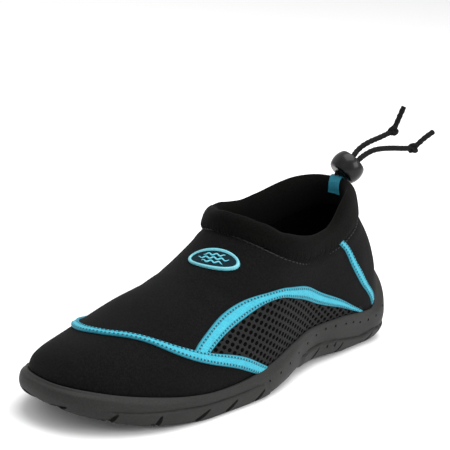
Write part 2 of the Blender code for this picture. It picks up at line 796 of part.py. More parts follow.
def spline_points(rows, spacing):
    """even steps along a smooth curve through the rows"""
    pts = [Vector(r) for r in rows]
    pts = [pts[0] * 2 - pts[1]] + pts + [pts[-1] * 2 - pts[-2]]
    fine = []
    for i in range(1, len(pts) - 2):
        p0, p1, p2, p3 = pts[i - 1:i + 3]
        for k in range(16):
            t = k / 16
            fine.append(0.5 * ((2 * p1) + (p2 - p0) * t + (2 * p0 - 5 * p1 + 4 * p2 - p3) * t * t
                               + (3 * p1 - p0 - 3 * p2 + p3) * t ** 3))
    fine.append(pts[-2])
    total = sum((b - a).length for a, b in zip(fine, fine[1:]))
    count = max(2, round(total / spacing))
    out, travelled, goal, k = [fine[0]], 0.0, total / count, 1
    for a, b in zip(fine, fine[1:]):
        step = (b - a).length
        while travelled + step >= goal - 1e-9 and k < count:
            out.append(a.lerp(b, (goal - travelled) / step))
            k += 1
            goal = total * k / count
        travelled += step
    out.append(fine[-1])
    return out


def cord_route(rows, side):
    x, d, _ = bead_axes()
    bore = BEAD_AT + x * (side * CORD_APART / 2)
    start = bore - d * (BEAD_DEEP / 2 + 0.3)
    leave = bore + d * (BEAD_DEEP / 2 + 0.6)
    return [tuple(start), tuple(bore), tuple(leave)] + rows


def make_cord(name, rows, side, knot, mat):
    """a round tube along the route, fatter where its knot is tied"""
    fine = spline_points(cord_route(rows, side), 1.0)
    knot = Vector(knot)
    last = len(fine) - 1
    tied = min(range(len(fine)), key=lambda i: (fine[i] - knot).length)
    around = [tied + k for k in (-4, -2, 0, 2, 4)]
    mouth = round(BEAD_DEEP + 1)  # straight through the cord stop
    keep = [0, mouth // 2, mouth, last] + around
    for i in range(mouth + 7, last - 3, 7):
        if all(abs(i - k) > 3 for k in around):
            keep.append(i)
    keep.sort()
    curve = bpy.data.curves.new(name, "CURVE")
    curve.dimensions = "3D"
    curve.bevel_depth = CORD_DIA / 2 * MM
    curve.bevel_resolution = 2
    curve.use_fill_caps = True
    spline = curve.splines.new("POLY")
    spline.points.add(len(keep) - 1)
    for point, i in zip(spline.points, keep):
        point.co = (*(fine[i] * MM), 1.0)
        point.radius = 1.0 + 1.1 * max(0.0, 1 - (abs(i - tied) / 4.0) ** 2)
    curve.materials.append(mat)
    obj = bpy.data.objects.new(name, curve)
    bpy.context.scene.collection.objects.link(obj)
    return obj


def main():
    for obj in list(bpy.data.objects):
        bpy.data.objects.remove(obj, do_unlink=True)
    rubber = material("outsole_rubber", (0.035, 0.035, 0.037), 0.62)
    neoprene = material("upper_neoprene", (0.012, 0.012, 0.013), 0.85)
    collar_cloth = material("collar_neoprene", (0.020, 0.020, 0.021), 0.88)
    foam = material("insole_foam", (0.02, 0.02, 0.022), 0.9)
    webbing = material("heel_webbing", (0.01, 0.35, 0.48), 0.7)
    badge_skin = material("badge_rubber", (0.01, 0.04, 0.06), 0.5)
    plastic = material("cord_stop_plastic", (0.02, 0.02, 0.022), 0.4)
    cord = material("cord_braid", (0.015, 0.015, 0.016), 0.8)
    make_outsole(rubber)
    make_insole(foam)
    make_upper(neoprene)
    make_collar(collar_cloth)
    make_badge(badge_skin)
    make_tape(webbing)
    make_bead(plastic)
    make_cord("cord_end_upper", CORD_UPPER, -1, KNOTS["upper"], cord)
    make_cord("cord_end_lower", CORD_LOWER, 1, KNOTS["lower"], cord)


main()
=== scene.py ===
"""Looks of the slip-on water shoe: a right shoe standing empty on its sole.

Working sizes are millimetres, like the part's own; MM turns them into metres.
The toe points to -Y, the wearer's inner side is +X and the ground is Z = 0.
"along" runs from the heel end of the upper (0) to its toe end (1), and "turn"
over the foot from the inner rim (0) across the ridge (0.5) to the outer rim (1).
"""
import bpy
import bmesh
import math
import random
import numpy as np
from mathutils import Vector, Matrix
from mathutils.bvhtree import BVHTree


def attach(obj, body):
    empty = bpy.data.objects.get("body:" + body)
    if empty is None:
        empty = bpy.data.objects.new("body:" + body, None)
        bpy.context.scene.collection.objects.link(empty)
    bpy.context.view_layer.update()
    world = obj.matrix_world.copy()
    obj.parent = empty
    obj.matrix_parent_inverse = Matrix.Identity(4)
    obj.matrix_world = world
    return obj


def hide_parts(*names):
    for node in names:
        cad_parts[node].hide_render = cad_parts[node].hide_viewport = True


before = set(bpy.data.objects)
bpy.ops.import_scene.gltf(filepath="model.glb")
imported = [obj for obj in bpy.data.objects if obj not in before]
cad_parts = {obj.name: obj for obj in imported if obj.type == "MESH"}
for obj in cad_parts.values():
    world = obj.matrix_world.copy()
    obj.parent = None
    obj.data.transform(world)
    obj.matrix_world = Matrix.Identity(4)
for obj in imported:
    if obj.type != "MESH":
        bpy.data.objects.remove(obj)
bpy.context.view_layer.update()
random.seed(7)
MM = 0.001

# ---- the shoe's own sizes, as in the part (mm) -----------------------------
LENGTH, BALL, INSTEP = 270.0, 95.0, 82.0
SOLE_LENGTH, HEEL_END, SOLE_WIDTH = 281.0, 140.0, 102.0
WALL, GAP, LIP, COLLAR_THICK = 2.6, 0.3, 2.0, 6.8
CORD_DIA = 3.4
BEAD_LONG, BEAD_DEEP, BEAD_THICK = 20.5, 13.0, 20.5

RIM = [
    # along   inner   outer   zin    zout
    (0.000, -0.025, -0.025, 0.610, 0.610),
    (0.011,  0.125, -0.175, 0.500, 0.500),
    (0.034,  0.205, -0.255, 0.355, 0.365),
    (0.075,  0.268, -0.315, 0.268, 0.280),
    (0.143,  0.305, -0.345, 0.290, 0.280),
    (0.226,  0.322, -0.362, 0.308, 0.280),
    (0.338,  0.345, -0.388, 0.305, 0.262),
    (0.421,  0.402, -0.415, 0.272, 0.238),
    (0.508,  0.462, -0.442, 0.220, 0.212),
    (0.602,  0.502, -0.472, 0.186, 0.195),
    (0.695,  0.518, -0.478, 0.178, 0.190),
    (0.782,  0.506, -0.455, 0.200, 0.202),
    (0.857,  0.448, -0.395, 0.232, 0.228),
    (0.921,  0.358, -0.330, 0.262, 0.256),
    (0.962,  0.268, -0.262, 0.286, 0.280),
    (0.989,  0.166, -0.158, 0.300, 0.298),
    (1.000,  0.020,  0.020, 0.303, 0.303),
]
RIDGE = [
    # along   high    x      side   up
    (0.000, 0.615, -0.025, 2.30, 2.30),
    (0.008, 0.670, -0.028, 2.30, 2.30),
    (0.023, 0.755, -0.032, 2.30, 2.35),
    (0.041, 0.855, -0.038, 2.30, 2.40),
    (0.053, 0.925, -0.040, 2.30, 2.40),
    (0.075, 1.010, -0.042, 2.30, 2.40),
    (0.100, 1.075, -0.040, 2.30, 2.35),
    (0.140, 1.160, -0.036, 2.30, 2.35),
    (0.200, 1.265, -0.025, 2.30, 2.35),
    (0.330, 1.340, -0.015, 2.25, 2.40),
    (0.440, 1.200, -0.005, 2.10, 2.20),
    (0.526, 1.010,  0.000, 2.00, 1.90),
    (0.594, 0.858,  0.005, 1.95, 1.80),
    (0.658, 0.770,  0.012, 1.95, 1.75),
    (0.733, 0.700,  0.025, 2.00, 1.75),
    (0.808, 0.615,  0.040, 2.05, 1.85),
    (0.883, 0.535,  0.052, 2.10, 2.00),
    (0.940, 0.482,  0.045, 2.10, 2.10),
    (0.974, 0.430,  0.035, 2.10, 2.20),
    (0.992, 0.365,  0.025, 2.10, 2.20),
    (1.000, 0.305,  0.020, 2.10, 2.20),
]
TREAD = [
    # along   inner   outer   lift_in lift_out waist tuck
    (0.000, -0.020, -0.020, 2.0, 2.0, 17.0, 7.5),
    (0.010,  0.158, -0.190, 1.4, 1.4, 16.5, 7.0),
    (0.034,  0.245, -0.275, 0.5, 0.5, 14.5, 6.0),
    (0.062,  0.278, -0.310, 0.0, 0.0, 12.5, 5.8),
    (0.082,  0.288, -0.325, 0.0, 0.0, 11.5, 5.6),
    (0.154,  0.300, -0.350, 0.0, 0.0,  9.5, 5.2),
    (0.190,  0.308, -0.360, 0.3, 0.0,  9.0, 4.8),
    (0.234,  0.318, -0.372, 1.6, 0.8,  8.5, 4.2),
    (0.314,  0.326, -0.392, 3.4, 2.4,  7.0, 3.0),
    (0.380,  0.366, -0.410, 3.4, 3.0,  6.5, 3.0),
    (0.452,  0.436, -0.432, 2.0, 2.0,  6.5, 3.0),
    (0.520,  0.486, -0.462, 0.6, 0.6,  6.5, 3.0),
    (0.565,  0.500, -0.474, 0.0, 0.0,  6.5, 3.0),
    (0.710,  0.508, -0.487, 0.0, 0.0,  6.5, 2.8),
    (0.745,  0.504, -0.475, 0.4, 0.3,  6.5, 2.8),
    (0.772,  0.497, -0.464, 1.0, 0.9,  6.5, 2.8),
    (0.845,  0.458, -0.415, 3.4, 3.2,  6.5, 2.8),
    (0.910,  0.380, -0.350, 6.6, 6.3,  6.5, 3.0),
    (0.957,  0.288, -0.275, 9.4, 9.2,  6.5, 3.4),
    (0.989,  0.180, -0.165, 11.8, 11.6, 6.3, 4.0),
    (1.000,  0.030,  0.030, 12.8, 12.8, 6.0, 4.2),
]
FLOOR = [(0.0, 12.0), (0.06, 9.5), (0.2, 9.0), (0.38, 9.0), (0.55, 7.4),
         (0.72, 7.0), (0.83, 9.0), (0.93, 13.0), (1.0, 17.6)]
SEAM = [(0.0, 95.0), (0.06, 88.0), (0.085, 85.5), (0.11, 82.0), (0.14, 79.0), (0.17, 76.5),
        (0.20, 74.0), (0.235, 71.7), (0.34, 68.5), (0.430, 74.5), (0.506, 84.5), (0.566, 92.0)]
# how far the rim dips on the inner side, and stands up on the outer side
DIP_INNER = [(0.09, 0.0), (0.17, 0.0), (0.19, -1.0), (0.21, -3.2), (0.229, -6.0), (0.248, -7.8),
             (0.267, -8.4), (0.286, -7.9), (0.305, -7.0), (0.343, -5.0), (0.381, -3.8), (0.43, -2.6),
             (0.476, -2.6), (0.50, -1.0), (0.533, 0.0)]
DIP_OUTER = [(0.09, 0.0), (0.15, 0.6), (0.19, 1.6), (0.258, 2.3), (0.324, 3.2), (0.362, 3.9),
             (0.40, 3.9), (0.43, 2.8), (0.455, 0.4), (0.48, -1.6), (0.533, -1.0)]
COLLAR_TOP = [
    # along  half   mid    high
    (0.096,  0.0, -5.0, 102.0),
    (0.108,  9.5, -4.8, 102.0),
    (0.145, 18.0, -4.0, 101.0),
    (0.210, 24.0, -2.5,  96.5),
    (0.285, 27.5, -1.0,  90.5),
    (0.350, 29.0,  0.0,  87.0),
    (0.430, 27.0,  0.5,  89.5),
    (0.468, 20.5,  1.0,  95.0),
    (0.498, 11.0,  1.0,  97.2),
    (0.515,  0.0,  1.0,  97.4),
]
BAND = [
    (0.00, -0.55), (0.00, 0.55), (0.07, 0.90), (0.22, 1.08), (0.45, 1.08),
    (0.68, 1.02), (0.84, 0.80), (0.95, 0.42), (1.00, 0.00), (0.95, -0.42),
    (0.84, -0.80), (0.66, -1.00), (0.40, -1.00), (0.15, -0.92),
]

# ---- camera at the photograph's angle --------------------------------------
AZ, EL, ROLL = (math.radians(v) for v in (40.918, 14.947, 4.289))
EYE = Vector((533.444, -618.189, 305.778))
back = Vector((math.sin(AZ) * math.cos(EL), -math.cos(AZ) * math.cos(EL), math.sin(EL)))
level = Vector((math.cos(AZ), math.sin(AZ), 0.0))
lift = back.cross(level)
cam_x = level * math.cos(ROLL) + lift * math.sin(ROLL)
cam_y = lift * math.cos(ROLL) - level * math.sin(ROLL)
camera_data = bpy.data.cameras.new("camera")
camera_data.sensor_width = 36.0
camera_data.lens = 116.95
camera = bpy.data.objects.new("camera", camera_data)
bpy.context.scene.collection.objects.link(camera)
turned = Matrix((cam_x, cam_y, back)).transposed().to_4x4()
camera.matrix_world = Matrix.Translation(EYE * MM) @ turned
bpy.context.scene.camera = camera


# ---- curves and surfaces in numbers ----------------------------------------
def arc(where, lo=0.0, hi=1.0):
    return np.arccos(np.clip(1 - 2 * (np.asarray(where, float) - lo) / (hi - lo), -1, 1))


def from_arc(angle):
    return 0.5 - 0.5 * np.cos(angle)


def look_up(table, column, where):
    """smooth values of a table's column; the ends are rounded like an arc"""
    lo, hi = table[0][0], table[-1][0]
    knots = arc([row[0] for row in table], lo, hi)
    values = np.array([row[column] for row in table], float)
    steps = np.diff(knots)
    rises = np.diff(values) / steps
    slopes = np.zeros(len(values))
    slopes[0], slopes[-1] = rises[0], rises[-1]
    for i in range(1, len(values) - 1):
        a, b = rises[i - 1], rises[i]
        if a * b > 0:
            m = (a * steps[i] + b * steps[i - 1]) / (steps[i] + steps[i - 1])
            slopes[i] = math.copysign(min(abs(m), 3 * min(abs(a), abs(b))), m)
    t = arc(where, lo, hi)
    k = np.clip(np.searchsorted(knots, t, side="left") - 1, 0, len(steps) - 1)
    h = steps[k]
    x = (t - knots[k]) / h
    return (values[k] * (1 + 2 * x) * (1 - x) ** 2 + slopes[k] * h * x * (1 - x) ** 2
            + values[k + 1] * x * x * (3 - 2 * x) + slopes[k + 1] * h * x * x * (x - 1))


def eased(table, column, where):
    """values of a table's column on a smooth curve through the rows"""
    xs = np.array([row[0] for row in table], float)
    ys = np.array([row[column] for row in table], float)
    d = np.diff(ys) / np.diff(xs)
    m = np.zeros(len(xs))
    m[0], m[-1] = d[0], d[-1]
    for i in range(1, len(d)):
        if d[i - 1] * d[i] > 0:
            m[i] = 2 * d[i - 1] * d[i] / (d[i - 1] + d[i])
    where = np.clip(np.asarray(where, float), xs[0], xs[-1])
    k = np.clip(np.searchsorted(xs, where, side="left") - 1, 0, len(d) - 1)
    h = (xs[1:] - xs[:-1])[k]
    x = (where - xs[k]) / h
    return (ys[k] * (1 + 2 * x) * (1 - x) ** 2 + m[k] * h * x * (1 - x) ** 2
            + ys[k + 1] * x * x * (3 - 2 * x) + m[k + 1] * h * x * x * (x - 1))


def y_at(along):
    return (0.5 - np.asarray(along, float)) * LENGTH - 1.0


def last_points(along, turn):
    """points of the closed last, for arrays of the same shape"""
    along, turn = np.broadcast_arrays(np.asarray(along, float), np.asarray(turn, float))
    xi, xo = look_up(RIM, 1, along) * BALL, look_up(RIM, 2, along) * BALL
    zi, zo = look_up(RIM, 3, along) * INSTEP, look_up(RIM, 4, along) * INSTEP
    top, xt = look_up(RIDGE, 1, along) * INSTEP, look_up(RIDGE, 2, along) * BALL
    p, q = look_up(RIDGE, 3, along), look_up(RIDGE, 4, along)
    c, s = np.cos(np.pi * turn), np.sin(np.pi * turn)
    side = np.sign(c) * np.abs(c) ** (2 / p)
    up = np.abs(s) ** (2 / q)
    mid, half = (xi + xo) / 2, (xi - xo) / 2
    x = mid + half * side + (xt - mid) * up * up * (1 - np.abs(side))
    foot = (zi + zo) / 2 + (zi - zo) / 2 * side
    return np.stack([x, y_at(along), foot + (top - foot) * up], axis=-1)


def unit(v):
    size = np.linalg.norm(v, axis=-1, keepdims=True)
    return v / np.where(size < 1e-9, 1.0, size)


def grid_normals(points, wrap=False):
    """normals of a grid of points, from its neighbours"""
    du = np.empty_like(points)
    du[1:-1] = points[2:] - points[:-2]
    du[0], du[-1] = points[1] - points[0], points[-1] - points[-2]
    if wrap:
        dv = np.roll(points, -1, axis=1) - np.roll(points, 1, axis=1)
    else:
        dv = np.empty_like(points)
        dv[:, 1:-1] = points[:, 2:] - points[:, :-2]
        dv[:, 0], dv[:, -1] = points[:, 1] - points[:, 0], points[:, -1] - points[:, -2]
    return unit(np.cross(du, dv))


class Skin:
    """the upper's outside as a fine grid over (angle of along, turn)"""

    def __init__(self, rows=260, cols=200):
        self.rows, self.cols = rows, cols
        angle = np.linspace(0, np.pi, rows + 1)[:, None]
        turn = np.linspace(0, 1, cols + 1)[None, :]
        self.points = last_points(from_arc(angle), turn)
        normals = grid_normals(self.points)
        inside = self.points * 0
        inside[..., 1] = self.points[..., 1] * 0.86
        inside[..., 2] = 30.0
        flip = np.sum(normals * (self.points - inside), axis=-1) < 0
        normals[flip] *= -1
        # the two ends are one point each, so they take their neighbours' mean
        for row, near in ((0, 1), (rows, rows - 1)):
            normals[row] = unit(normals[near])
        self.normals = normals

    def at(self, along, turn, lift=0.0):
        along, turn = np.broadcast_arrays(np.asarray(along, float), np.asarray(turn, float))
        spot = last_points(along, np.clip(turn, 0, 1))
        normal = self.normal(along, turn)
        return spot + normal * np.asarray(lift)[..., None]

    def normal(self, along, turn):
        i = arc(along) / np.pi * self.rows
        j = np.clip(turn, 0, 1) * self.cols
        a = np.clip(np.floor(i).astype(int), 0, self.rows - 1)
        b = np.clip(np.floor(j).astype(int), 0, self.cols - 1)
        u, v = (i - a)[..., None], (j - b)[..., None]
        n = self.normals
        return unit(n[a, b] * (1 - u) * (1 - v) + n[a + 1, b] * u * (1 - v)
                    + n[a, b + 1] * (1 - u) * v + n[a + 1, b + 1] * u * v)


def smooth_line(rows, count):
    """even steps along a smooth curve through rows of numbers"""
    pts = np.array(rows, float)
    pts = np.vstack([2 * pts[0] - pts[1], pts, 2 * pts[-1] - pts[-2]])
    fine = []
    for i in range(1, len(pts) - 2):
        p0, p1, p2, p3 = pts[i - 1:i + 3]
        for t in np.arange(24) / 24:
            fine.append(0.5 * (2 * p1 + (p2 - p0) * t + (2 * p0 - 5 * p1 + 4 * p2 - p3) * t * t
                               + (3 * p1 - p0 - 3 * p2 + p3) * t ** 3))
    fine.append(pts[-2])
    fine = np.array(fine)
    run = np.concatenate([[0], np.cumsum(np.linalg.norm(np.diff(fine, axis=0), axis=1))])
    goal = np.linspace(0, run[-1], count)
    return np.stack([np.interp(goal, run, fine[:, k]) for k in range(fine.shape[1])], axis=-1)


def bump_of(x, middle, half):
    """a soft 0..1 hump"""
    t = np.clip(np.abs(np.asarray(x, float) - middle) / half, 0, 1)
    return (1 - t * t) ** 2


# ---- meshes ----------------------------------------------------------------
def mesh_object(name, verts, faces, mat=None, smooth=True, body="root"):
    """one object from points in mm"""
    mesh = bpy.data.meshes.new(name)
    mesh.from_pydata([tuple(float(c) * MM for c in v) for v in verts], [], faces)
    mesh.validate()
    if smooth:
        mesh.shade_smooth()
    obj = bpy.data.objects.new(name, mesh)
    bpy.context.scene.collection.objects.link(obj)
    for m in (mat if isinstance(mat, (list, tuple)) else [mat]):
        if m is not None:
            mesh.materials.append(m)
    if body:
        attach(obj, body)
    return obj


def grid_faces(rows, cols, wrap=False, start=0):
    faces = []
    for i in range(rows - 1):
        for j in range(cols if wrap else cols - 1):
            k = (j + 1) % cols
            faces.append((start + i * cols + j, start + i * cols + k,
                          start + (i + 1) * cols + k, start + (i + 1) * cols + j))
    return faces


def grid_object(name, points, mat, wrap=False, flip=False, body="root"):
    rows, cols = points.shape[:2]
    faces = grid_faces(rows, cols, wrap)
    if flip:
        faces = [tuple(reversed(f)) for f in faces]
    return mesh_object(name, points.reshape(-1, 3), faces, mat, body=body)


def face_outwards(obj):
    bm = bmesh.new()
    bm.from_mesh(obj.data)
    bmesh.ops.remove_doubles(bm, verts=bm.verts, dist=0.002 * MM)
    bmesh.ops.recalc_face_normals(bm, faces=bm.faces)
    bm.to_mesh(obj.data)
    bm.free()
    obj.data.shade_smooth()


def tube(line, radius, sides, frame_hint=(0, 0, 1), radii=None):
    """rings of points round a line; returns a grid that wraps"""
    line = np.asarray(line, float)
    n = len(line)
    tangent = np.empty_like(line)
    tangent[1:-1] = line[2:] - line[:-2]
    tangent[0], tangent[-1] = line[1] - line[0], line[-1] - line[-2]
    tangent = unit(tangent)
    side = np.array(frame_hint, float)
    rings = np.empty((n, sides, 3))
    angle = np.linspace(0, 2 * np.pi, sides, endpoint=False)
    for i in range(n):
        side = side - tangent[i] * side.dot(tangent[i])
        side /= np.linalg.norm(side)
        other = np.cross(tangent[i], side)
        r = radius if radii is None else radii[i]
        r = np.broadcast_to(r, (sides,))
        rings[i] = line[i] + np.outer(np.cos(angle) * r, side) + np.outer(np.sin(angle) * r, other)
    return rings


class Batch:
    """many small shapes joined in one mesh"""

    def __init__(self):
        self.verts, self.faces = [], []

    def add(self, verts, faces):
        k = len(self.verts)
        self.verts.extend(verts)
        self.faces.extend(tuple(k + i for i in f) for f in faces)

    def stitch(self, a, b, normal, wide=0.3, high=0.26, sink=0.35):
        """a thread from a to b: it rises out of the cloth, lies on it and dives in"""
        a, b, normal = (np.asarray(v, float) for v in (a, b, normal))
        rows = []
        for t in (0.0, 0.12, 0.3, 0.5, 0.7, 0.88, 1.0):
            lift_by = high * (math.sin(math.pi * t) ** 0.6) - sink * (abs(2 * t - 1) ** 4)
            rows.append(a + (b - a) * t + normal * lift_by)
        rings = tube(rows, wide, 6, frame_hint=normal)
        self.add(rings.reshape(-1, 3), grid_faces(len(rows), 6, True))

    def disc(self, centre, normal, radius, lift_by=0.02, sides=8):
        centre, normal = np.asarray(centre, float), np.asarray(normal, float)
        side = np.cross(normal, (0.3, 0.2, 0.93))
        side /= np.linalg.norm(side)
        other = np.cross(normal, side)
        ring = [centre + normal * lift_by
                + (side * math.cos(2 * math.pi * k / sides)
                   + other * math.sin(2 * math.pi * k / sides)) * radius
                for k in range(sides)]
        self.add(ring, [tuple(range(sides))])

    def object(self, name, mat, smooth=True):
        return mesh_object(name, self.verts, self.faces, mat, smooth)


# ---- materials --------------------------------------------------------------
def shader(name, colour, rough, metal=0.0, sheen=0.0, sheen_rough=0.5, coat=0.0,
           coat_rough=0.2, spec=0.5):
    mat = bpy.data.materials.new(name)
    mat.use_nodes = True
    tree = mat.node_tree
    bsdf = tree.nodes["Principled BSDF"]
    bsdf.inputs["Base Color"].default_value = (*colour, 1)
    bsdf.inputs["Roughness"].default_value = rough
    bsdf.inputs["Metallic"].default_value = metal
    bsdf.inputs["Sheen Weight"].default_value = sheen
    bsdf.inputs["Sheen Roughness"].default_value = sheen_rough
    bsdf.inputs["Coat Weight"].default_value = coat
    bsdf.inputs["Coat Roughness"].default_value = coat_rough
    bsdf.inputs["Specular IOR Level"].default_value = spec
    return mat, tree, bsdf


def node(tree, kind, **values):
    n = tree.nodes.new(kind)
    for key, value in values.items():
        if hasattr(n, key) and not key[0].isupper():
            setattr(n, key, value)
    return n


def object_space(tree, scale=(1, 1, 1), turn=(0, 0, 0)):
    coords = node(tree, "ShaderNodeTexCoord")
    mapping = node(tree, "ShaderNodeMapping")
    mapping.inputs["Scale"].default_value = scale
    mapping.inputs["Rotation"].default_value = turn
    tree.links.new(coords.outputs["Object"], mapping.inputs["Vector"])
    return mapping.outputs["Vector"]


def noise_of(tree, vector, per_metre, detail=3.0, rough=0.6):
    n = node(tree, "ShaderNodeTexNoise")
    n.inputs["Scale"].default_value = per_metre
    n.inputs["Detail"].default_value = detail
    n.inputs["Roughness"].default_value = rough
    tree.links.new(vector, n.inputs["Vector"])
    return n.outputs["Fac"]


def cells_of(tree, vector, per_metre, feature="F1"):
    n = node(tree, "ShaderNodeTexVoronoi")
    n.feature = feature
    n.inputs["Scale"].default_value = per_metre
    tree.links.new(vector, n.inputs["Vector"])
    return n.outputs["Distance"]


def ramp(tree, value, stops):
    r = node(tree, "ShaderNodeValToRGB")
    tree.links.new(value, r.inputs["Fac"])
    while len(r.color_ramp.elements) < len(stops):
        r.color_ramp.elements.new(0.5)
    for element, (place, colour) in zip(r.color_ramp.elements, stops):
        element.position = place
        element.color = (*colour, 1) if len(colour) == 3 else colour
    return r.outputs["Color"]


def mixed(tree, kind, fac, a, b):
    m = node(tree, "ShaderNodeMix")
    m.data_type = "RGBA"
    m.blend_type = kind
    if isinstance(fac, (int, float)):
        m.inputs[0].default_value = fac
    else:
        tree.links.new(fac, m.inputs[0])
    for socket, value in ((m.inputs[6], a), (m.inputs[7], b)):
        if isinstance(value, tuple):
            socket.default_value = (*value, 1)
        else:
            tree.links.new(value, socket)
    return m.outputs[2]


def maths(tree, operation, a, b=0.0):
    m = node(tree, "ShaderNodeMath")
    m.operation = operation
    for socket, value in ((m.inputs[0], a), (m.inputs[1], b)):
        if isinstance(value, (int, float)):
            socket.default_value = value
        else:
            tree.links.new(value, socket)
    return m.outputs[0]


def bumped(tree, bsdf, height, strength, distance, after=None):
    b = node(tree, "ShaderNodeBump")
    b.inputs["Strength"].default_value = strength
    b.inputs["Distance"].default_value = distance
    tree.links.new(height, b.inputs["Height"])
    if after is not None:
        tree.links.new(after, b.inputs["Normal"])
    tree.links.new(b.outputs["Normal"], bsdf.inputs["Normal"])
    return b.outputs["Normal"]


def jersey(name, dark, light, rough=0.88, pitch=0.85, sheen=0.03, coarse=0.5, spec=0.12):
    """knit-faced foam: a fine stitch grid, a speckle of brighter fibres"""
    mat, tree, bsdf = shader(name, dark, rough, sheen=sheen, sheen_rough=0.55, spec=spec)
    space = object_space(tree)
    fibre = noise_of(tree, space, 2600, 2, 0.7)
    cloud = noise_of(tree, space, 55, 3, 0.55)
    grain = noise_of(tree, space, 640, 3, 0.65)
    speckle = noise_of(tree, space, 950, 2, 0.6)
    tone = mixed(tree, "MIX", ramp(tree, fibre, [(0.35, (0, 0, 0)), (0.72, (1, 1, 1))]), dark, light)
    tone = mixed(tree, "MULTIPLY", 0.9, tone, ramp(tree, speckle, [(0.36, (0.62, 0.62, 0.62)), (0.64, (1.3, 1.3, 1.3))]))
    tone = mixed(tree, "MULTIPLY", coarse, tone, ramp(tree, cloud, [(0.3, (0.72, 0.72, 0.72)), (0.7, (1.15, 1.15, 1.15))]))
    tree.links.new(tone, bsdf.inputs["Base Color"])
    knit = cells_of(tree, object_space(tree, (1, 0.72, 1)), 1000 / pitch)
    first = bumped(tree, bsdf, grain, 0.35, 0.00025)
    bumped(tree, bsdf, knit, 0.45, 0.00022, first)
    return mat


neoprene = jersey("neoprene_jersey", (0.0018, 0.0018, 0.0019), (0.0074, 0.0074, 0.0076), sheen=0.015, spec=0.05)
collar_cloth = jersey("collar_jersey", (0.0014, 0.0013, 0.0012), (0.0048, 0.0046, 0.0043), rough=0.92,
                      pitch=0.7, sheen=0.015, spec=0.04)
cloth_tree = collar_cloth.node_tree
# painted shade: lower down the collar band's inner face, inside the opening, the cloth mixes to a flat darker tone
inside_shade_attr = node(cloth_tree, "ShaderNodeAttribute")
inside_shade_attr.attribute_name = "painted_inside_shade"
cloth_bsdf = cloth_tree.nodes["Principled BSDF"]
cloth_tone = cloth_bsdf.inputs["Base Color"].links[0].from_socket
cloth_tree.links.new(mixed(cloth_tree, "MIX", inside_shade_attr.outputs["Fac"], cloth_tone, (0.0016, 0.0016, 0.0018)),
                     cloth_bsdf.inputs["Base Color"])
lining = jersey("lining_knit", (0.0020, 0.0020, 0.0022), (0.0050, 0.0050, 0.0054), rough=0.95, sheen=0.0, spec=0.05)
# near black for the bottoms of the air mesh's holes: the dark cloth below, made darker still as painted shade
mesh_hole_shade = jersey("mesh_hole_bottom_shade", (0.001, 0.001, 0.001), (0.003, 0.003, 0.003), rough=1.0, sheen=0.0, spec=0.03)


def rubber():
    mat, tree, bsdf = shader("sole_rubber", (0.050, 0.050, 0.049), 0.62, spec=0.20)
    space = object_space(tree)
    fine = noise_of(tree, space, 1500, 3, 0.7)
    cloud = noise_of(tree, space, 52, 5, 0.65)
    tone = mixed(tree, "MIX", ramp(tree, fine, [(0.3, (0, 0, 0)), (0.75, (1, 1, 1))]),
                 (0.0090, 0.0090, 0.0087), (0.0268, 0.0268, 0.0257))
    tone = mixed(tree, "MULTIPLY", 0.9, tone, ramp(tree, cloud, [(0.32, (0.72, 0.73, 0.72)), (0.70, (1.12, 1.12, 1.10))]))
    tree.links.new(tone, bsdf.inputs["Base Color"])
    tree.links.new(maths(tree, "ADD", maths(tree, "MULTIPLY", cloud, 0.25), 0.48), bsdf.inputs["Roughness"])
    bumped(tree, bsdf, fine, 0.28, 0.00018)
    return mat


def webbing(name="cyan_webbing"):
    """tightly woven tape: fine ribs and crossing picks"""
    mat, tree, bsdf = shader(name, (0.07, 0.45, 0.58), 0.72, sheen=0.08, sheen_rough=0.4, spec=0.2)
    space = object_space(tree)
    fine = noise_of(tree, space, 2200, 2, 0.6)
    patch = noise_of(tree, space, 260, 3, 0.6)
    tone = mixed(tree, "MIX", ramp(tree, fine, [(0.3, (0, 0, 0)), (0.7, (1, 1, 1))]),
                 (0.023, 0.260, 0.360), (0.062, 0.430, 0.545))
    tone = mixed(tree, "MULTIPLY", 0.5, tone, ramp(tree, patch, [(0.3, (0.8, 0.86, 0.88)), (0.7, (1.1, 1.08, 1.06))]))
    # painted shade: darker teal at the tape's folded edges and along its rows of needle holes, by a per-point
    # attribute of the band
    edge = node(tree, "ShaderNodeAttribute")
    edge.attribute_name = "shade"
    tone = mixed(tree, "MIX", edge.outputs["Fac"], tone, (0.004, 0.085, 0.125))
    tree.links.new(tone, bsdf.inputs["Base Color"])
    knit = cells_of(tree, object_space(tree, (1, 0.6, 1)), 1500)
    bumped(tree, bsdf, knit, 0.5, 0.0003)
    return mat


def plain(name, colour, rough, fine_per_metre=900, strength=0.2, distance=0.0001, vary=0.25, **more):
    mat, tree, bsdf = shader(name, colour, rough, **more)
    space = object_space(tree)
    fine = noise_of(tree, space, fine_per_metre, 3, 0.6)
    low = tuple(c * (1 - vary) for c in colour)
    high = tuple(min(1.0, c * (1 + vary)) for c in colour)
    tone = mixed(tree, "MIX", fine, low, high)
    tree.links.new(tone, bsdf.inputs["Base Color"])
    bumped(tree, bsdf, fine, strength, distance)
    return mat


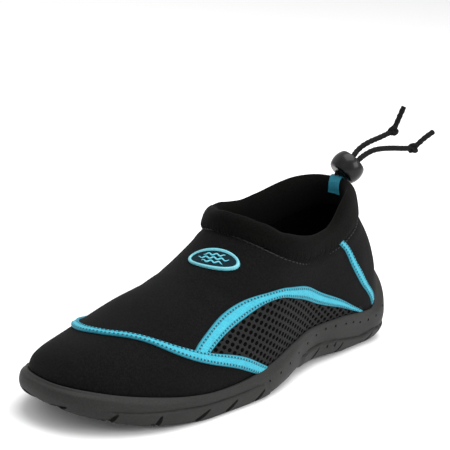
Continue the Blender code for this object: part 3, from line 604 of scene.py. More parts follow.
sole_rubber = rubber()
cyan = webbing()
# the pull tape: a darker copy of the tape's webbing, painted shade for where it turns down inside the collar
pull_cyan_in_shade = webbing("pull_webbing_in_shade")
pull_cyan_in_shade.node_tree.nodes["Principled BSDF"].inputs["Sheen Weight"].default_value = 0.0
pull_tone = pull_cyan_in_shade.node_tree.nodes["Principled BSDF"].inputs["Base Color"].links[0].from_socket
pull_cyan_in_shade.node_tree.links.new(mixed(pull_cyan_in_shade.node_tree, "MULTIPLY", 1.0, pull_tone, (0.42, 0.50, 0.54)),
                              pull_cyan_in_shade.node_tree.nodes["Principled BSDF"].inputs["Base Color"])
cyan_thread = plain("cyan_thread", (0.050, 0.36, 0.46), 0.7, 2500, 0.3)
# painted shade: dark discs for the tapes' needle holes
needle_hole_shade = plain("needle_hole_shade_discs", (0.002, 0.045, 0.070), 0.9, 800, 0.1)
black_thread = plain("black_thread", (0.014, 0.014, 0.0145), 0.6, 2500, 0.3, spec=0.3)
# painted shade: dark discs for the collar seam's needle holes
seam_hole_shade = plain("hole_shade", (0.006, 0.006, 0.006), 0.95, 800, 0.1)
mesh_web = plain("air_mesh", (0.0105, 0.0105, 0.0107), 0.8, 1800, 0.5, 0.0002, 0.35, sheen=0.02, spec=0.12)
badge_ring = plain("badge_ring", (0.12, 0.43, 0.50), 0.42, 700, 0.1, vary=0.08, coat=0.2)
badge_field = plain("badge_field", (0.0022, 0.0125, 0.0190), 0.7, 900, 0.25, vary=0.25, spec=0.08)
badge_wave = plain("badge_wave", (0.10, 0.45, 0.54), 0.45, 700, 0.1, vary=0.1)
bead_plastic = plain("bead_plastic", (0.0022, 0.0022, 0.0024), 0.34, 420, 0.12, 0.00012, 0.2,
                     coat=0.22, coat_rough=0.16, spec=0.16)
braid = plain("cord_braid", (0.0045, 0.0045, 0.0045), 0.7, 1900, 0.5, 0.0002, 0.6, sheen=0.0, spec=0.10)
insole_knit = jersey("insole_knit", (0.003, 0.003, 0.0032), (0.008, 0.008, 0.0085), rough=0.95, sheen=0.01)


# ---- the drawcord: bead, two free ends and their knots -----------------------
BEAD_AT = Vector((-2.5, 114.8, 109.0))
BEAD_AXIS = Vector((0.25, 0.68, 0.69)).normalized()
CORD_APART = 4.8
CORD_ROUTES = {
    "upper": [
        (-4.9, 126.0, 117.0), (-4.2, 131.0, 120.0), (-3.0, 137.3, 122.4),
        (-1.5, 144.4, 124.4), (0.0, 151.3, 126.7), (0.9, 155.0, 128.6),
        (1.5, 156.6, 131.8), (2.6, 158.3, 137.6), (3.8, 160.4, 144.2),
    ],
    "lower": [
        (0.3, 128.4, 115.5), (1.6, 134.7, 117.6), (3.2, 141.9, 118.2),
        (5.4, 151.3, 117.9), (7.4, 159.1, 117.3), (9.4, 167.2, 117.2),
        (10.8, 170.4, 119.6), (12.6, 175.3, 123.7), (14.8, 181.1, 127.6),
    ],
}
KNOTS = {"upper": (0.9, 155.0, 128.9), "lower": (9.5, 167.4, 117.6)}


def bead_axes():
    d = BEAD_AXIS
    x = Vector((0.95, 0.0, -0.30))
    x = (x - d * x.dot(d)).normalized()
    return x, d, x.cross(d)


def make_cord(which, side):
    """braided round cord: eight strands a side cross in small lozenges"""
    x, d, _ = bead_axes()
    bore = BEAD_AT + x * (side * CORD_APART / 2)
    rows = [tuple(bore - d * (BEAD_DEEP / 2 + 0.3)), tuple(bore),
            tuple(bore + d * (BEAD_DEEP / 2 + 0.6))] + CORD_ROUTES[which]
    rough = smooth_line(rows, 400)
    length = float(np.linalg.norm(np.diff(rough, axis=0), axis=1).sum())
    count = int(length / 0.32)
    line = smooth_line(rows, count)
    sides = 32
    angle = np.linspace(0, 2 * np.pi, sides, endpoint=False)
    run = np.linspace(0, length, count)
    radii = []
    for s in run:
        one = np.cos(4 * angle + s * 2 * np.pi / 3.6)
        two = np.cos(4 * angle - s * 2 * np.pi / 3.6)
        r = CORD_DIA / 2 * (0.985 + 0.085 * np.maximum(one, two) + 0.03 * one * two)
        ends = min(1.0, (s + 0.05) / 0.6, (length - s + 0.02) / 0.7)
        radii.append(r * (0.80 + 0.20 * math.sqrt(max(0.0, ends))))
    rings = tube(line, 0, sides, (1, 0, 0), radii)
    verts = rings.reshape(-1, 3)
    faces = grid_faces(count, sides, True)
    faces += [tuple(range(sides)), tuple(reversed(range((count - 1) * sides, count * sides)))]
    name = "drawcord_" + which
    cord = mesh_object(name, verts, faces, braid)
    face_outwards(cord)
    # the overhand knot: the cord's own turns, pulled tight round it
    knot = np.array(KNOTS[which])
    near = int(np.argmin(np.linalg.norm(line - knot, axis=1)))
    along = unit((line[min(near + 6, count - 1)] - line[max(near - 6, 0)])[None])[0]
    hint = np.cross(along, (0.2, 0.1, 1.0))
    hint /= np.linalg.norm(hint)
    other = np.cross(along, hint)
    t = np.linspace(0, 2 * np.pi, 150, endpoint=False)
    size = 0.78
    px = (np.sin(t) + 2 * np.sin(2 * t)) * size * 0.98
    py = (np.cos(t) - 2 * np.cos(2 * t)) * size * 1.06
    pz = -np.sin(3 * t) * 1.75
    path = line[near] + np.outer(px, hint) + np.outer(py, other) + np.outer(pz, along)
    path = path + np.array([0.0, 0.0, -0.45])
    loop = np.vstack([path, path[:1]])
    knot_r = []
    for k in range(len(loop)):
        one = np.cos(4 * angle[::2] + k * 0.42)
        two = np.cos(4 * angle[::2] - k * 0.42)
        knot_r.append(1.42 * (0.93 + 0.06 * np.maximum(one, two)))
    turns = tube(loop, 0, 16, (0.1, 0.2, 1), knot_r)
    knot_piece = mesh_object("knot_" + which, turns.reshape(-1, 3),
                             grid_faces(len(loop), 16, True), braid)
    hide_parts("cord_end_" + which)
    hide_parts("cord_end_" + which)
    return cord


def make_bead():
    x, d, e = bead_axes()
    at = BEAD_AT - d * 1.3      # pushed down its cords on to the collar
    verts, faces = [], []
    profile = []
    for k in range(65):
        # a barrel with flat ends and rolled edges
        t = math.pi * (k / 64 - 0.5)
        u = math.sin(t)
        size = math.sqrt(max(0.0, 1 - 0.34 * u * u))
        if abs(u) > 0.84:
            w = (abs(u) - 0.84) / 0.16
            size -= 0.14 * (1 - math.sqrt(max(0.0, 1 - w * w)))
        profile.append((u, size))
    sides = 96
    for u, size in profile:
        for i in range(sides):
            a = 2 * math.pi * i / sides
            p = (at + x * (math.cos(a) * BEAD_LONG / 2 * 1.04 * size)
                 + e * (math.sin(a) * BEAD_THICK / 2 * size) + d * (u * BEAD_DEEP / 2))
            verts.append(tuple(p))
    faces = grid_faces(len(profile), sides, True)
    faces += [tuple(range(sides)), tuple(reversed(range((len(profile) - 1) * sides, len(profile) * sides)))]
    bead = mesh_object("cord_lock_bead", verts, faces, bead_plastic)
    face_outwards(bead)
    cutter = bmesh.new()
    for side in (-1, 1):
        line = [tuple(at + x * (side * CORD_APART / 2) + d * t)
                for t in (-8.0, 8.0)]
        r = CORD_DIA / 2 + 0.22
        rings = tube(line, 0, 32, tuple(x), [r, r])
        made = [[cutter.verts.new([c * MM for c in p]) for p in ring] for ring in rings]
        for a, b in zip(made, made[1:]):
            for i in range(32):
                cutter.faces.new((a[i], a[(i + 1) % 32], b[(i + 1) % 32], b[i]))
        cutter.faces.new(list(reversed(made[0])))
        cutter.faces.new(made[-1])
    bmesh.ops.recalc_face_normals(cutter, faces=cutter.faces)
    carve(bead, cutter)
    bead.data.set_sharp_from_angle(angle=math.radians(40))
    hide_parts("cord_stop")
    return bead


def carve(obj, cutter_bm, name="cutter"):
    """cut a bmesh out of an object and keep the result"""
    mesh = bpy.data.meshes.new(name)
    cutter_bm.to_mesh(mesh)
    cutter_bm.free()
    cutter = bpy.data.objects.new(name, mesh)
    bpy.context.scene.collection.objects.link(cutter)
    mod = obj.modifiers.new("cut", "BOOLEAN")
    mod.operation = "DIFFERENCE"
    mod.object = cutter
    before = len(obj.data.polygons)
    for solver in ("MANIFOLD", "FAST"):
        mod.solver = solver
        bpy.context.view_layer.update()
        graph = bpy.context.evaluated_depsgraph_get()
        made = bpy.data.meshes.new_from_object(obj.evaluated_get(graph))
        if len(made.polygons) > before * 0.5:
            break
    print("cut", obj.name, solver, before, "->", len(made.polygons))
    obj.modifiers.remove(mod)
    if len(made.polygons) > before * 0.5:
        obj.data = made
    made = obj.data
    bpy.data.objects.remove(cutter, do_unlink=True)
    made.shade_smooth()


def make_roots():
    """where the drawcord comes up out of the collar into the bead"""
    x, d, _ = bead_axes()
    batch = Batch()
    for side in (-1, 1):
        top = BEAD_AT + x * (side * CORD_APART / 2)
        line = smooth_line([tuple(top - d * 5.6), tuple(top - d * 6.8),
                            (-4.6 + side * 1.8, 108.8, 102.6), (-4.8 + side * 1.7, 107.4, 98.5)], 24)
        angle = np.linspace(0, 2 * np.pi, 20, endpoint=False)
        radii = [CORD_DIA / 2 * (1.08 + 0.07 * np.maximum(np.cos(4 * angle + k * 0.6), np.cos(4 * angle - k * 0.6)))
                 for k in range(24)]
        batch.add(tube(line, 0, 20, (1, 0, 0), radii).reshape(-1, 3), grid_faces(24, 20, True))
    roots = batch.object("drawcord_roots", braid)
    face_outwards(roots)
    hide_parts("cord_stop")


make_roots()
cord_upper = make_cord("upper", -1)
cord_lower = make_cord("lower", 1)
bead = make_bead()

# ---- the upper ---------------------------------------------------------------
skin = Skin()


def seam_height(along):
    return eased(SEAM, 1, along)


def relief(along, turn, points):
    """soft creases and swellings of the cloth, in mm"""
    z = points[..., 2]
    high = seam_height(along) - z
    out = -0.55 * np.exp(-np.clip(high, 0, 40) / 1.6)            # drawn in at the collar's seam
    out += 0.35 * bump_of(high, 6.0, 5.0)                        # and full just below it
    # two flex creases across the side behind the ball, on both sides
    for where, slope, deep in ((0.60, 0.22, 0.30), (0.655, 0.16, 0.22)):
        line = where + slope * (turn - 0.28)
        fade = bump_of(turn, 0.34, 0.12)
        out -= 1.5 * deep * bump_of(along, line, 0.020) * fade
        mirror = where + slope * (0.72 - turn)
        out -= deep * bump_of(along, mirror, 0.020) * bump_of(turn, 0.66, 0.12)
    # a dent beside the heel and a slack swelling in front of it
    for side in (0.12, 0.88):
        out -= 0.45 * bump_of(along, 0.085, 0.045) * bump_of(turn, side, 0.10)
        out += 0.50 * bump_of(along, 0.30, 0.12) * bump_of(turn, side, 0.09)
    # toe box: a soft ridge along its top
    out += 0.30 * bump_of(along, 0.93, 0.06) * bump_of(turn, 0.5, 0.3)
    # the cloth's own slow unevenness
    y = points[..., 1]
    out += 0.16 * np.sin(y * 0.13 + 2.1 * np.sin(points[..., 0] * 0.07)) * np.sin(points[..., 0] * 0.11 + z * 0.09)
    rim = np.minimum(np.sin(np.pi * turn) * 6, 1.0)
    return out * rim


def make_upper():
    rows, cols = 300, 220
    angle = np.linspace(0, np.pi, rows + 1)[:, None]
    along = np.broadcast_to(from_arc(angle), (rows + 1, cols + 1))
    turn = np.broadcast_to(np.linspace(0, 1, cols + 1)[None, :], (rows + 1, cols + 1))
    base = skin.at(along, turn)
    outer = skin.at(along, turn, relief(along, turn, base))
    inner = skin.at(along, turn, np.full(turn.shape, -WALL))
    high = base[..., 2] - seam_height(along)
    made = []
    for name, points, mat, flip in (("vamp_and_quarters", outer, neoprene, False),
                                    ("lining", inner, lining, True)):
        keep = []
        for i in range(rows):
            for j in range(cols):
                if along[i, j] < 0.56 and min(high[i, j], high[i + 1, j], high[i, j + 1], high[i + 1, j + 1]) > 0.4:
                    continue
                q = (i * (cols + 1) + j, i * (cols + 1) + j + 1,
                     (i + 1) * (cols + 1) + j + 1, (i + 1) * (cols + 1) + j)
                keep.append(q)
        if name == "lining":
            # down inside the cup to the insole, on both sides
            verts = list(points.reshape(-1, 3))
            for col, sign in ((0, 1), (cols, -1)):
                base_k = len(verts)
                for level in (0.4, 0.8, 1.0):
                    for i in range(rows + 1):
                        p = points[i, col].copy()
                        low = float(eased(FLOOR, 1, np.clip(0.5 - (p[1] + 1) / LENGTH, 0, 1))) + GAP
                        p[2] = p[2] + (low - p[2]) * level
                        p[0] -= sign * 1.4 * level
                        verts.append(p)
                for level in range(3):
                    for i in range(rows):
                        a = (i * (cols + 1) + col) if level == 0 else base_k + (level - 1) * (rows + 1) + i
                        b = ((i + 1) * (cols + 1) + col) if level == 0 else a + 1
                        c, d = base_k + level * (rows + 1) + i + 1, base_k + level * (rows + 1) + i
                        keep.append((a, b, c, d))
        else:
            verts = points.reshape(-1, 3)
        obj = mesh_object(name, verts, keep, mat)
        bm = bmesh.new()
        bm.from_mesh(obj.data)
        bmesh.ops.remove_doubles(bm, verts=bm.verts, dist=0.01 * MM)
        loose = [v for v in bm.verts if not v.link_faces]
        bmesh.ops.delete(bm, geom=loose, context="VERTS")
        bmesh.ops.recalc_face_normals(bm, faces=bm.faces)
        bm.to_mesh(obj.data)
        bm.free()
        obj.data.shade_smooth()
        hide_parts("upper")
        made.append(obj)
    return made


make_upper()

# ---- tapes sewn over the seams -----------------------------------------------
# both edges of each tape on the inner side: along, turn
ARCH_TOP = [(0.7520, 0.183), (0.7389, 0.2057), (0.6980, 0.235), (0.6553, 0.2591), (0.6200, 0.2640),
            (0.5856, 0.2560), (0.5560, 0.2350), (0.5268, 0.2125), (0.4647, 0.1600), (0.4123, 0.1185),
            (0.3168, 0.0644), (0.2299, 0.0363), (0.1677, 0.0152), (0.1213, 0.0010)]
ARCH_LOW = [(0.7180, 0.150), (0.7059, 0.1670), (0.6780, 0.1850), (0.6484, 0.1992), (0.6200, 0.2025),
            (0.5942, 0.2014), (0.5493, 0.1905), (0.5041, 0.1680), (0.4602, 0.1305),
            (0.4144, 0.0908), (0.3460, 0.0478), (0.2844, 0.0287), (0.2269, 0.0172),
            (0.1779, 0.0063), (0.1396, 0.0005)]
TOE_BACK = [(0.5330, 0.0005), (0.5453, 0.0101), (0.5780, 0.0515), (0.6186, 0.0990), (0.6637, 0.1341),
            (0.7111, 0.1665), (0.7422, 0.1942), (0.7815, 0.2437), (0.8051, 0.2896),
            (0.8240, 0.3383), (0.8410, 0.3965), (0.8555, 0.4453), (0.8700, 0.5100),
            (0.8720, 0.5800), (0.8600, 0.6450), (0.8370, 0.7150), (0.7950, 0.7850), (0.7420, 0.8250),
            (0.6800, 0.8500), (0.6300, 0.8850), (0.5850, 0.9330), (0.5400, 0.9995)]
TOE_FRONT = [(0.5760, 0.0005), (0.6000, 0.0255), (0.6410, 0.0690), (0.7019, 0.1140),
             (0.7440, 0.1494), (0.7791, 0.1904), (0.8068, 0.2423), (0.8259, 0.3010),
             (0.8450, 0.3570), (0.8650, 0.4251), (0.8840, 0.5157), (0.8900, 0.5828),
             (0.8800, 0.6500), (0.8570, 0.7280), (0.8150, 0.8000), (0.7620, 0.8400), (0.7050, 0.8720),
             (0.6450, 0.9050), (0.6050, 0.9450), (0.5700, 0.9995)]
REAR_BACK = [(0.2130, 0.1980), (0.1990, 0.1770), (0.1769, 0.1568), (0.1592, 0.1313), (0.1343, 0.1060),
             (0.1088, 0.0787), (0.0718, 0.0463), (0.0560, 0.0240), (0.0500, 0.0030)]
REAR_FRONT = [(0.2330, 0.1800), (0.2161, 0.1620), (0.1970, 0.1441), (0.1816, 0.1170), (0.1577, 0.0884),
              (0.1306, 0.0619), (0.1002, 0.0415), (0.0740, 0.0170), (0.0640, 0.0020)]


def mirrored(rows, lower=0.0):
    """the same line on the outer side of the foot, lower by a little where it is high"""
    return [(a, 1 - t + lower * min(1.0, max(0.0, (t - 0.1) / 0.1))) for a, t in rows]


def edge_line(rows, count):
    """a line over the skin, as (angle of along, turn), even in length"""
    pts = [(float(arc(a)), t) for a, t in rows]
    fine = smooth_line(pts, 500)
    # take the small waver out of the line, with its ends held
    for _ in range(380):
        fine[1:-1] = 0.5 * fine[1:-1] + 0.25 * (fine[2:] + fine[:-2])
    spots = last_points(from_arc(fine[:, 0]), np.clip(fine[:, 1], 0, 1))
    run = np.concatenate([[0], np.cumsum(np.linalg.norm(np.diff(spots, axis=0), axis=1))])
    goal = np.linspace(0, run[-1], count)
    return np.stack([np.interp(goal, run, fine[:, k]) for k in (0, 1)], axis=-1), float(run[-1])


threads, holes = Batch(), Batch()


def make_band(name, edge_a, edge_b, thick, mat, rows_of_stitches=(0.20, 0.80), across=14,
              base=0.05, stitch=1.3, pause=1.15):
    a, length = edge_line(edge_a, 420)
    b, _ = edge_line(edge_b, 420)
    w = np.linspace(0, 1, across + 1)
    # rolled edges
    w = 0.5 - 0.5 * np.sign(0.5 - w) * np.abs(2 * np.abs(0.5 - w)) ** 0.62
    rounded = (1 - np.abs(2 * w - 1) ** 7) ** 0.5
    angle = a[:, None, 0] * (1 - w) + b[:, None, 0] * w
    turn = np.clip(a[:, None, 1] * (1 - w) + b[:, None, 1] * w, 0.0004, 0.9996)
    run = np.linspace(0, length, 420)[:, None]
    dome = 1 - 0.30 * np.abs(2 * w - 1) ** 3
    lifted = (base + (thick * dome + 0.05 * np.sin(run * 0.9) + 0.04 * np.sin(run * 2.3 + 1)) * rounded
              - 0.35 * (1 - rounded))
    # the thread pulls the tape in along each row of stitches
    for row in rows_of_stitches:
        lifted = lifted - 0.16 * np.exp(-((w - row) / 0.05) ** 2)
    along = from_arc(angle)
    spots = skin.at(along, turn)
    points = skin.at(along, turn, relief(along, turn, spots) + lifted)
    band = grid_object(name, points, mat)
    # painted shade: darker at the folded edges and in the two rows of needle holes
    dark = 0.92 * np.abs(2 * w - 1) ** 6
    for row in rows_of_stitches:
        dark = np.maximum(dark, 0.50 * np.exp(-((w - row) / 0.055) ** 2))
    tape_shade_attr = band.data.attributes.new("shade", "FLOAT", "POINT")
    tape_shade_attr.data.foreach_set("value", np.tile(np.clip(dark, 0, 1), len(points)).astype(np.float32))
    face_by_skin(band)
    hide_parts("upper")
    # stitches
    for row in rows_of_stitches:
        step = stitch + pause
        count = max(1, int(length / step))
        for k in range(count):
            s0 = (k + 0.15) * length / count
            s1 = s0 + stitch
            ends = []
            for s in (s0, s1):
                i = min(s / length, 1.0) * 419
                i0 = min(int(i), 418)
                f = i - i0
                p = a[i0] * (1 - f) + a[i0 + 1] * f
                q = b[i0] * (1 - f) + b[i0 + 1] * f
                m = p * (1 - row) + q * row
                al, tu = from_arc(m[0]), min(max(m[1], 0.0004), 0.9996)
                n = skin.normal(al, tu)
                here = last_points(al, tu)
                off = float(relief(al, tu, here)) + base + thick - 0.13
                ends.append((here + n * off, n))
            threads.stitch(ends[0][0], ends[1][0], unit((ends[0][1] + ends[1][1])[None])[0],
                           0.24, 0.20, 0.30)
            # a dark disc at each needle hole: painted shade
            holes.disc(ends[0][0] - (ends[1][0] - ends[0][0]) * 0.42, ends[0][1], 0.62, 0.18)
    return band


def face_by_skin(obj):
    """turn faces to look away from the foot"""
    mesh = obj.data
    mesh.update()
    total = 0.0
    for poly in mesh.polygons:
        c = poly.center
        total += poly.normal.dot(c - Vector((0, c.y * 0.86, 0.030))) * poly.area
    if total < 0:
        mesh.flip_normals()
    mesh.shade_smooth()


for side, flip in (("inner", False), ("outer", True)):
    turned = mirrored if flip else (lambda rows, lower=0.0: rows)
    make_band("arch_tape_" + side, turned(ARCH_TOP, 0.021), turned(ARCH_LOW, 0.021), 0.85 if flip else 0.95,
              cyan, base=0.25 if flip else 0.45)
    make_band("rear_tape_" + side, turned(REAR_BACK), turned(REAR_FRONT), 0.85, cyan, (0.2, 0.8))
make_band("toe_tape", TOE_BACK, TOE_FRONT, 0.95, cyan, base=0.75)
tape_threads = threads.object("tape_threads", cyan_thread)
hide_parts("upper")
tape_hole_shade = holes.object("tape_needle_hole_shade", needle_hole_shade, smooth=False)
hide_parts("upper")


# ---- air mesh panels -----------------------------------------------------------
def height_table(along, reach=0.34, steps=80):
    """surface length up from the rim at one station"""
    t = np.linspace(0.0, reach, steps)
    spots = last_points(np.full(steps, along), t)
    run = np.concatenate([[0], np.cumsum(np.linalg.norm(np.diff(spots, axis=0), axis=1))])
    return t, run


def make_panel(side):
    outer = side == "outer"
    sign = -1 if outer else 1
    stations = np.linspace(0.10, 0.78, 120)
    tables = [height_table(a) if not outer else None for a in stations]
    if outer:
        tables = []
        for a in stations:
            t = np.linspace(0.0, 0.34, 80)
            spots = last_points(np.full(80, a), 1 - t)
            tables.append((t, np.concatenate([[0], np.cumsum(np.linalg.norm(np.diff(spots, axis=0), axis=1))])))

    def turn_at(along, high):
        """turn for a height over the rim (mm), by station"""
        f = np.clip((along - 0.10) / 0.68 * 119, 0, 118.999)
        k = int(f)
        w = f - k
        return (np.interp(high, tables[k][1], tables[k][0]) * (1 - w)
                + np.interp(high, tables[k + 1][1], tables[k + 1][0]) * w)

    def high_at(along, turn):
        k = int(round(np.clip((along - 0.10) / 0.68 * 119, 0, 119)))
        return float(np.interp(turn, tables[k][0], tables[k][1]))

    upper_edge = sorted((a, high_at(a, t)) for a, t in ARCH_LOW)
    front_edge = sorted((a, high_at(a, t)) for a, t in
                        [(a, t if t < 0.5 else 1 - t) for a, t in TOE_BACK[:8]])
    ua, uh = np.array(upper_edge).T
    fa, fh = np.array(front_edge).T

    def inside(along, high, spare):
        if along < 0.125 or along > 0.74 or high < -2.2:
            return False
        if high > np.interp(along, ua, uh) + spare:
            return False
        return not (along > 0.533 and high < np.interp(along, fa, fh) - spare)

    def place(u, v, lift_by):
        along = min(max(0.5 - (u + 1.0) / LENGTH, 0.101), 0.779)
        turn = float(turn_at(along, max(v, 0.0)))
        tu = 1 - turn if outer else turn
        spot = last_points(along, min(max(tu, 0.0), 1.0))
        n = skin.normal(along, tu)
        point = spot + n * (lift_by + float(relief(along, tu, spot)))
        if v < 0:
            point = point + np.array([0, 0, v])
        return point

    # lattice of the knit: holes in rows that climb, across and up (mm)
    step_a = np.array([3.25, -2.38])
    step_b = np.array([3.30, 2.32])
    origin = np.array([0.0, 12.0])
    batch, wells = Batch(), Batch()
    segs = 16
    corners = [(-0.5, -0.5), (0.5, -0.5), (0.5, 0.5), (-0.5, 0.5)]
    border = []
    for k in range(4):
        p, q = np.array(corners[k]), np.array(corners[(k + 1) % 4])
        for m in range(4):
            border.append(p + (q - p) * m / 4)
    for i in range(-40, 41):
        for j in range(-40, 41):
            c = origin + step_a * i + step_b * j
            if c[1] < -3 or c[1] > 40 or c[0] < -75 or c[0] > 105:
                continue
            along = 0.5 - (c[0] + 1.0) / LENGTH
            if not inside(along, c[1], 2.4):
                continue
            outer_ring, hole_ring, deep_ring, lip_ring = [], [], [], []
            for b in border:
                flat = c + step_a * b[0] + step_b * b[1]
                r = b / np.linalg.norm(b)
                hole = c + (step_a * r[0] + step_b * r[1]) * 0.355
                lip_p = c + (step_a * r[0] + step_b * r[1]) * 0.415
                outer_ring.append(place(flat[0], flat[1], 0.36))
                lip_ring.append(place(lip_p[0], lip_p[1], 0.46))
                hole_ring.append(place(hole[0], hole[1], 0.40))
                deep_ring.append(place(hole[0], hole[1], 0.06))
            k = len(batch.verts)
            verts = outer_ring + lip_ring + hole_ring + deep_ring
            faces = []
            for level in range(3):
                for m in range(segs):
                    n2 = (m + 1) % segs
                    faces.append((level * segs + m, level * segs + n2,
                                  (level + 1) * segs + n2, (level + 1) * segs + m))
            batch.add(verts, faces)
            # a near-black disc at the bottom of each hole: painted shade over the dark cloth below
            wells.add(deep_ring, [tuple(range(segs))])
    web = batch.object("air_mesh_" + side, mesh_web)
    bm = bmesh.new()
    bm.from_mesh(web.data)
    bmesh.ops.remove_doubles(bm, verts=bm.verts, dist=0.02 * MM)
    bmesh.ops.recalc_face_normals(bm, faces=bm.faces)
    bm.to_mesh(web.data)
    bm.free()
    face_by_skin(web)
    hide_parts("upper")
    hole_shade_sheet = wells.object("air_mesh_hole_shade_" + side, mesh_hole_shade, smooth=False)
    face_by_skin(hole_shade_sheet)
    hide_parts("upper")


make_panel("inner")
make_panel("outer")

# ---- the collar ---------------------------------------------------------------
def plan_out(points, distance):
    """a closed loop moved outwards in plan (heel, inner, toe, outer)"""
    ahead, behind = np.roll(points, -1, axis=0), np.roll(points, 1, axis=0)
    t = unit((ahead - behind)[:, :2])
    moved = points.copy()
    moved[:, 0] -= t[:, 1] * distance
    moved[:, 1] += t[:, 0] * distance
    return moved


def seam_loop(steps):
    ends = []
    for lo, hi in ((0.0, 0.2), (0.62, 0.4)):
        for _ in range(40):
            mid = (lo + hi) / 2
            if float(look_up(RIDGE, 1, mid)) * INSTEP < float(eased(SEAM, 1, mid)):
                lo = mid
            else:
                hi = mid
        ends.append((lo + hi) / 2)
    back_end, front_end = ends
    a = back_end + (front_end - back_end) * from_arc(np.linspace(0, np.pi, steps + 1))
    want = eased(SEAM, 1, a)
    sides = []
    for outer in (False, True):
        lo, hi = np.zeros(steps + 1), np.full(steps + 1, 0.5)
        for _ in range(40):
            mid = (lo + hi) / 2
            low = last_points(a, 1 - mid if outer else mid)[:, 2] < want
            lo, hi = np.where(low, mid, lo), np.where(low, hi, mid)
        sides.append(last_points(a, 1 - lo if outer else lo))
    return np.vstack([sides[0], sides[1][1:-1][::-1]])


def top_loop(steps):
    lo, hi = COLLAR_TOP[0][0], COLLAR_TOP[-1][0]
    a = lo + (hi - lo) * from_arc(np.linspace(0, np.pi, steps + 1))
    half, mid, high = look_up(COLLAR_TOP, 1, a), eased(COLLAR_TOP, 2, a), eased(COLLAR_TOP, 3, a)
    near = np.clip(half / 10.0, 0, 1)
    inner = np.stack([mid + half, y_at(a), high + eased(DIP_INNER, 1, a) * near], axis=-1)
    outer = np.stack([mid - half, y_at(a), high + eased(DIP_OUTER, 1, a) * near], axis=-1)
    return np.vstack([inner, outer[1:-1][::-1]])


def collar_frames(steps):
    seam = plan_out(seam_loop(steps), -WALL / 2)
    top = top_loop(steps)
    middle = (seam + top) / 2
    outward = plan_out(middle, 1.0) - middle
    up = top - seam
    high = np.linalg.norm(up, axis=1)
    up = up / high[:, None]
    out = unit(outward - up * np.sum(outward * up, axis=1)[:, None])
    return seam, up, out, high


def band_profile(rows, count):
    closed = rows + rows[:1]
    return smooth_line(closed, count + 1)[:-1]


def make_collar():
    steps, sections = 400, 56
    seam, up, out, high = collar_frames(steps)
    flat = band_profile(BAND, sections)
    run = np.concatenate([[0], np.cumsum(np.linalg.norm(np.diff(seam, axis=0), axis=1))])
    part, side = flat[None, :, 0], flat[None, :, 1]
    half = COLLAR_THICK / 2
    start = -1.2
    # puckers rise from the seam's stitches and die out half way up
    pucker = (np.sin(run * 3.3 + 1.1 * np.sin(run * 0.31)) * 0.5
              + np.sin(run * 1.87 + 1.3 + 0.6 * np.sin(run * 0.17)) * 0.35
              + np.sin(run * 0.83 + 0.4) * 0.35)[:, None]
    pucker = pucker * (0.65 + 0.35 * np.sin(run * 0.09 + 1.0))[:, None]
    soft = np.where(side > 0, 1.0, 0.35)
    fade = np.exp(-(np.clip(part, 0, 1) / 0.26) ** 1.5)
    slow = (np.sin(run * 0.075 + 0.6) * 0.25 + np.sin(run * 0.031 + 2) * 0.25)[:, None]
    swell = 0.50 * pucker * fade * soft + slow * np.sin(np.pi * np.clip(part, 0, 1)) * soft
    tuck = -0.5 * np.exp(-np.clip(part, 0, 1) / 0.05)
    level_up = start + (high[:, None] - start) * part
    front = np.clip((18.0 - seam[:, 1]) / 30.0, 0, 1)[:, None]
    front = front * front * (3 - 2 * front)
    across = half * side * (1 + 0.22 * front) + np.sign(side) * (swell + tuck)
    points = (seam[:, None, :] + up[:, None, :] * level_up[..., None]
              + out[:, None, :] * across[..., None])
    points = np.vstack([points, points[:1]])
    collar = grid_object("collar_band", points, collar_cloth, wrap=True)
    # painted shade: the band's inner face goes darker towards the seam, inside the shoe's opening
    deep = collar.data.attributes.new("painted_inside_shade", "FLOAT", "POINT")
    shade = np.clip((0.80 - flat[:, 0]) / 0.45, 0, 1) * np.clip((-0.45 - flat[:, 1]) / 0.35, 0, 1)
    shade = shade ** 0.7
    every = np.tile(shade, len(points))
    deep.data.foreach_set("value", every.astype(np.float32))
    face_outwards(collar)
    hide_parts("collar")
    return seam, up, out, high


seam, collar_up, collar_out, collar_high = make_collar()


def on_upper(point, away=30.0):
    """the nearest point of the upper's outside and its normal"""
    hit = upper_tree.find_nearest(Vector(point))
    return np.array(hit[0]), np.array(hit[1])


verts = [Vector(p) for p in skin.points.reshape(-1, 3)]
upper_tree = BVHTree.FromPolygons(verts, [tuple(f) for f in grid_faces(skin.rows + 1, skin.cols + 1)])


def make_seam_stitches():
    """one row of lockstitch on the upper, just under the collar"""
    batch, dark = Batch(), Batch()
    loop = np.vstack([seam, seam[:1]])
    run = np.concatenate([[0], np.cumsum(np.linalg.norm(np.diff(loop, axis=0), axis=1))])
    count = int(run[-1] / 3.3)
    for k in range(count):
        ends = []
        for s in ((k + 0.12) * run[-1] / count, (k + 0.80) * run[-1] / count):
            p = np.array([np.interp(s, run, loop[:, c]) for c in range(3)])
            i = int(np.argmin(np.linalg.norm(seam - p, axis=1)))
            low = p + collar_out[i] * 1.3 - np.array([0, 0, 1.0]) * 3.4
            if loop[i, 1] < 5:
                low = p + collar_out[i] * 1.3 - collar_up[i] * 3.4
            spot, normal = on_upper(low)
            away = spot - np.array([0, spot[1] * 0.86, 30.0])
            if normal.dot(away) < 0:
                normal = -normal
            al = 0.5 - (spot[1] + 1) / LENGTH
            ends.append((spot - normal * 0.18, normal))
        batch.stitch(ends[0][0], ends[1][0], unit((ends[0][1] + ends[1][1])[None])[0], 0.34, 0.36, 0.3)
        # a dark disc by each stitch: painted shade of its needle hole
        dark.disc(ends[0][0] - (ends[1][0] - ends[0][0]) * 0.2, ends[0][1], 0.80, 0.16)
    thread = batch.object("collar_seam_thread", black_thread)
    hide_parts("upper")
    seam_shade_discs = dark.object("collar_seam_hole_shade", seam_hole_shade, smooth=False)
    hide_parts("upper")


make_seam_stitches()


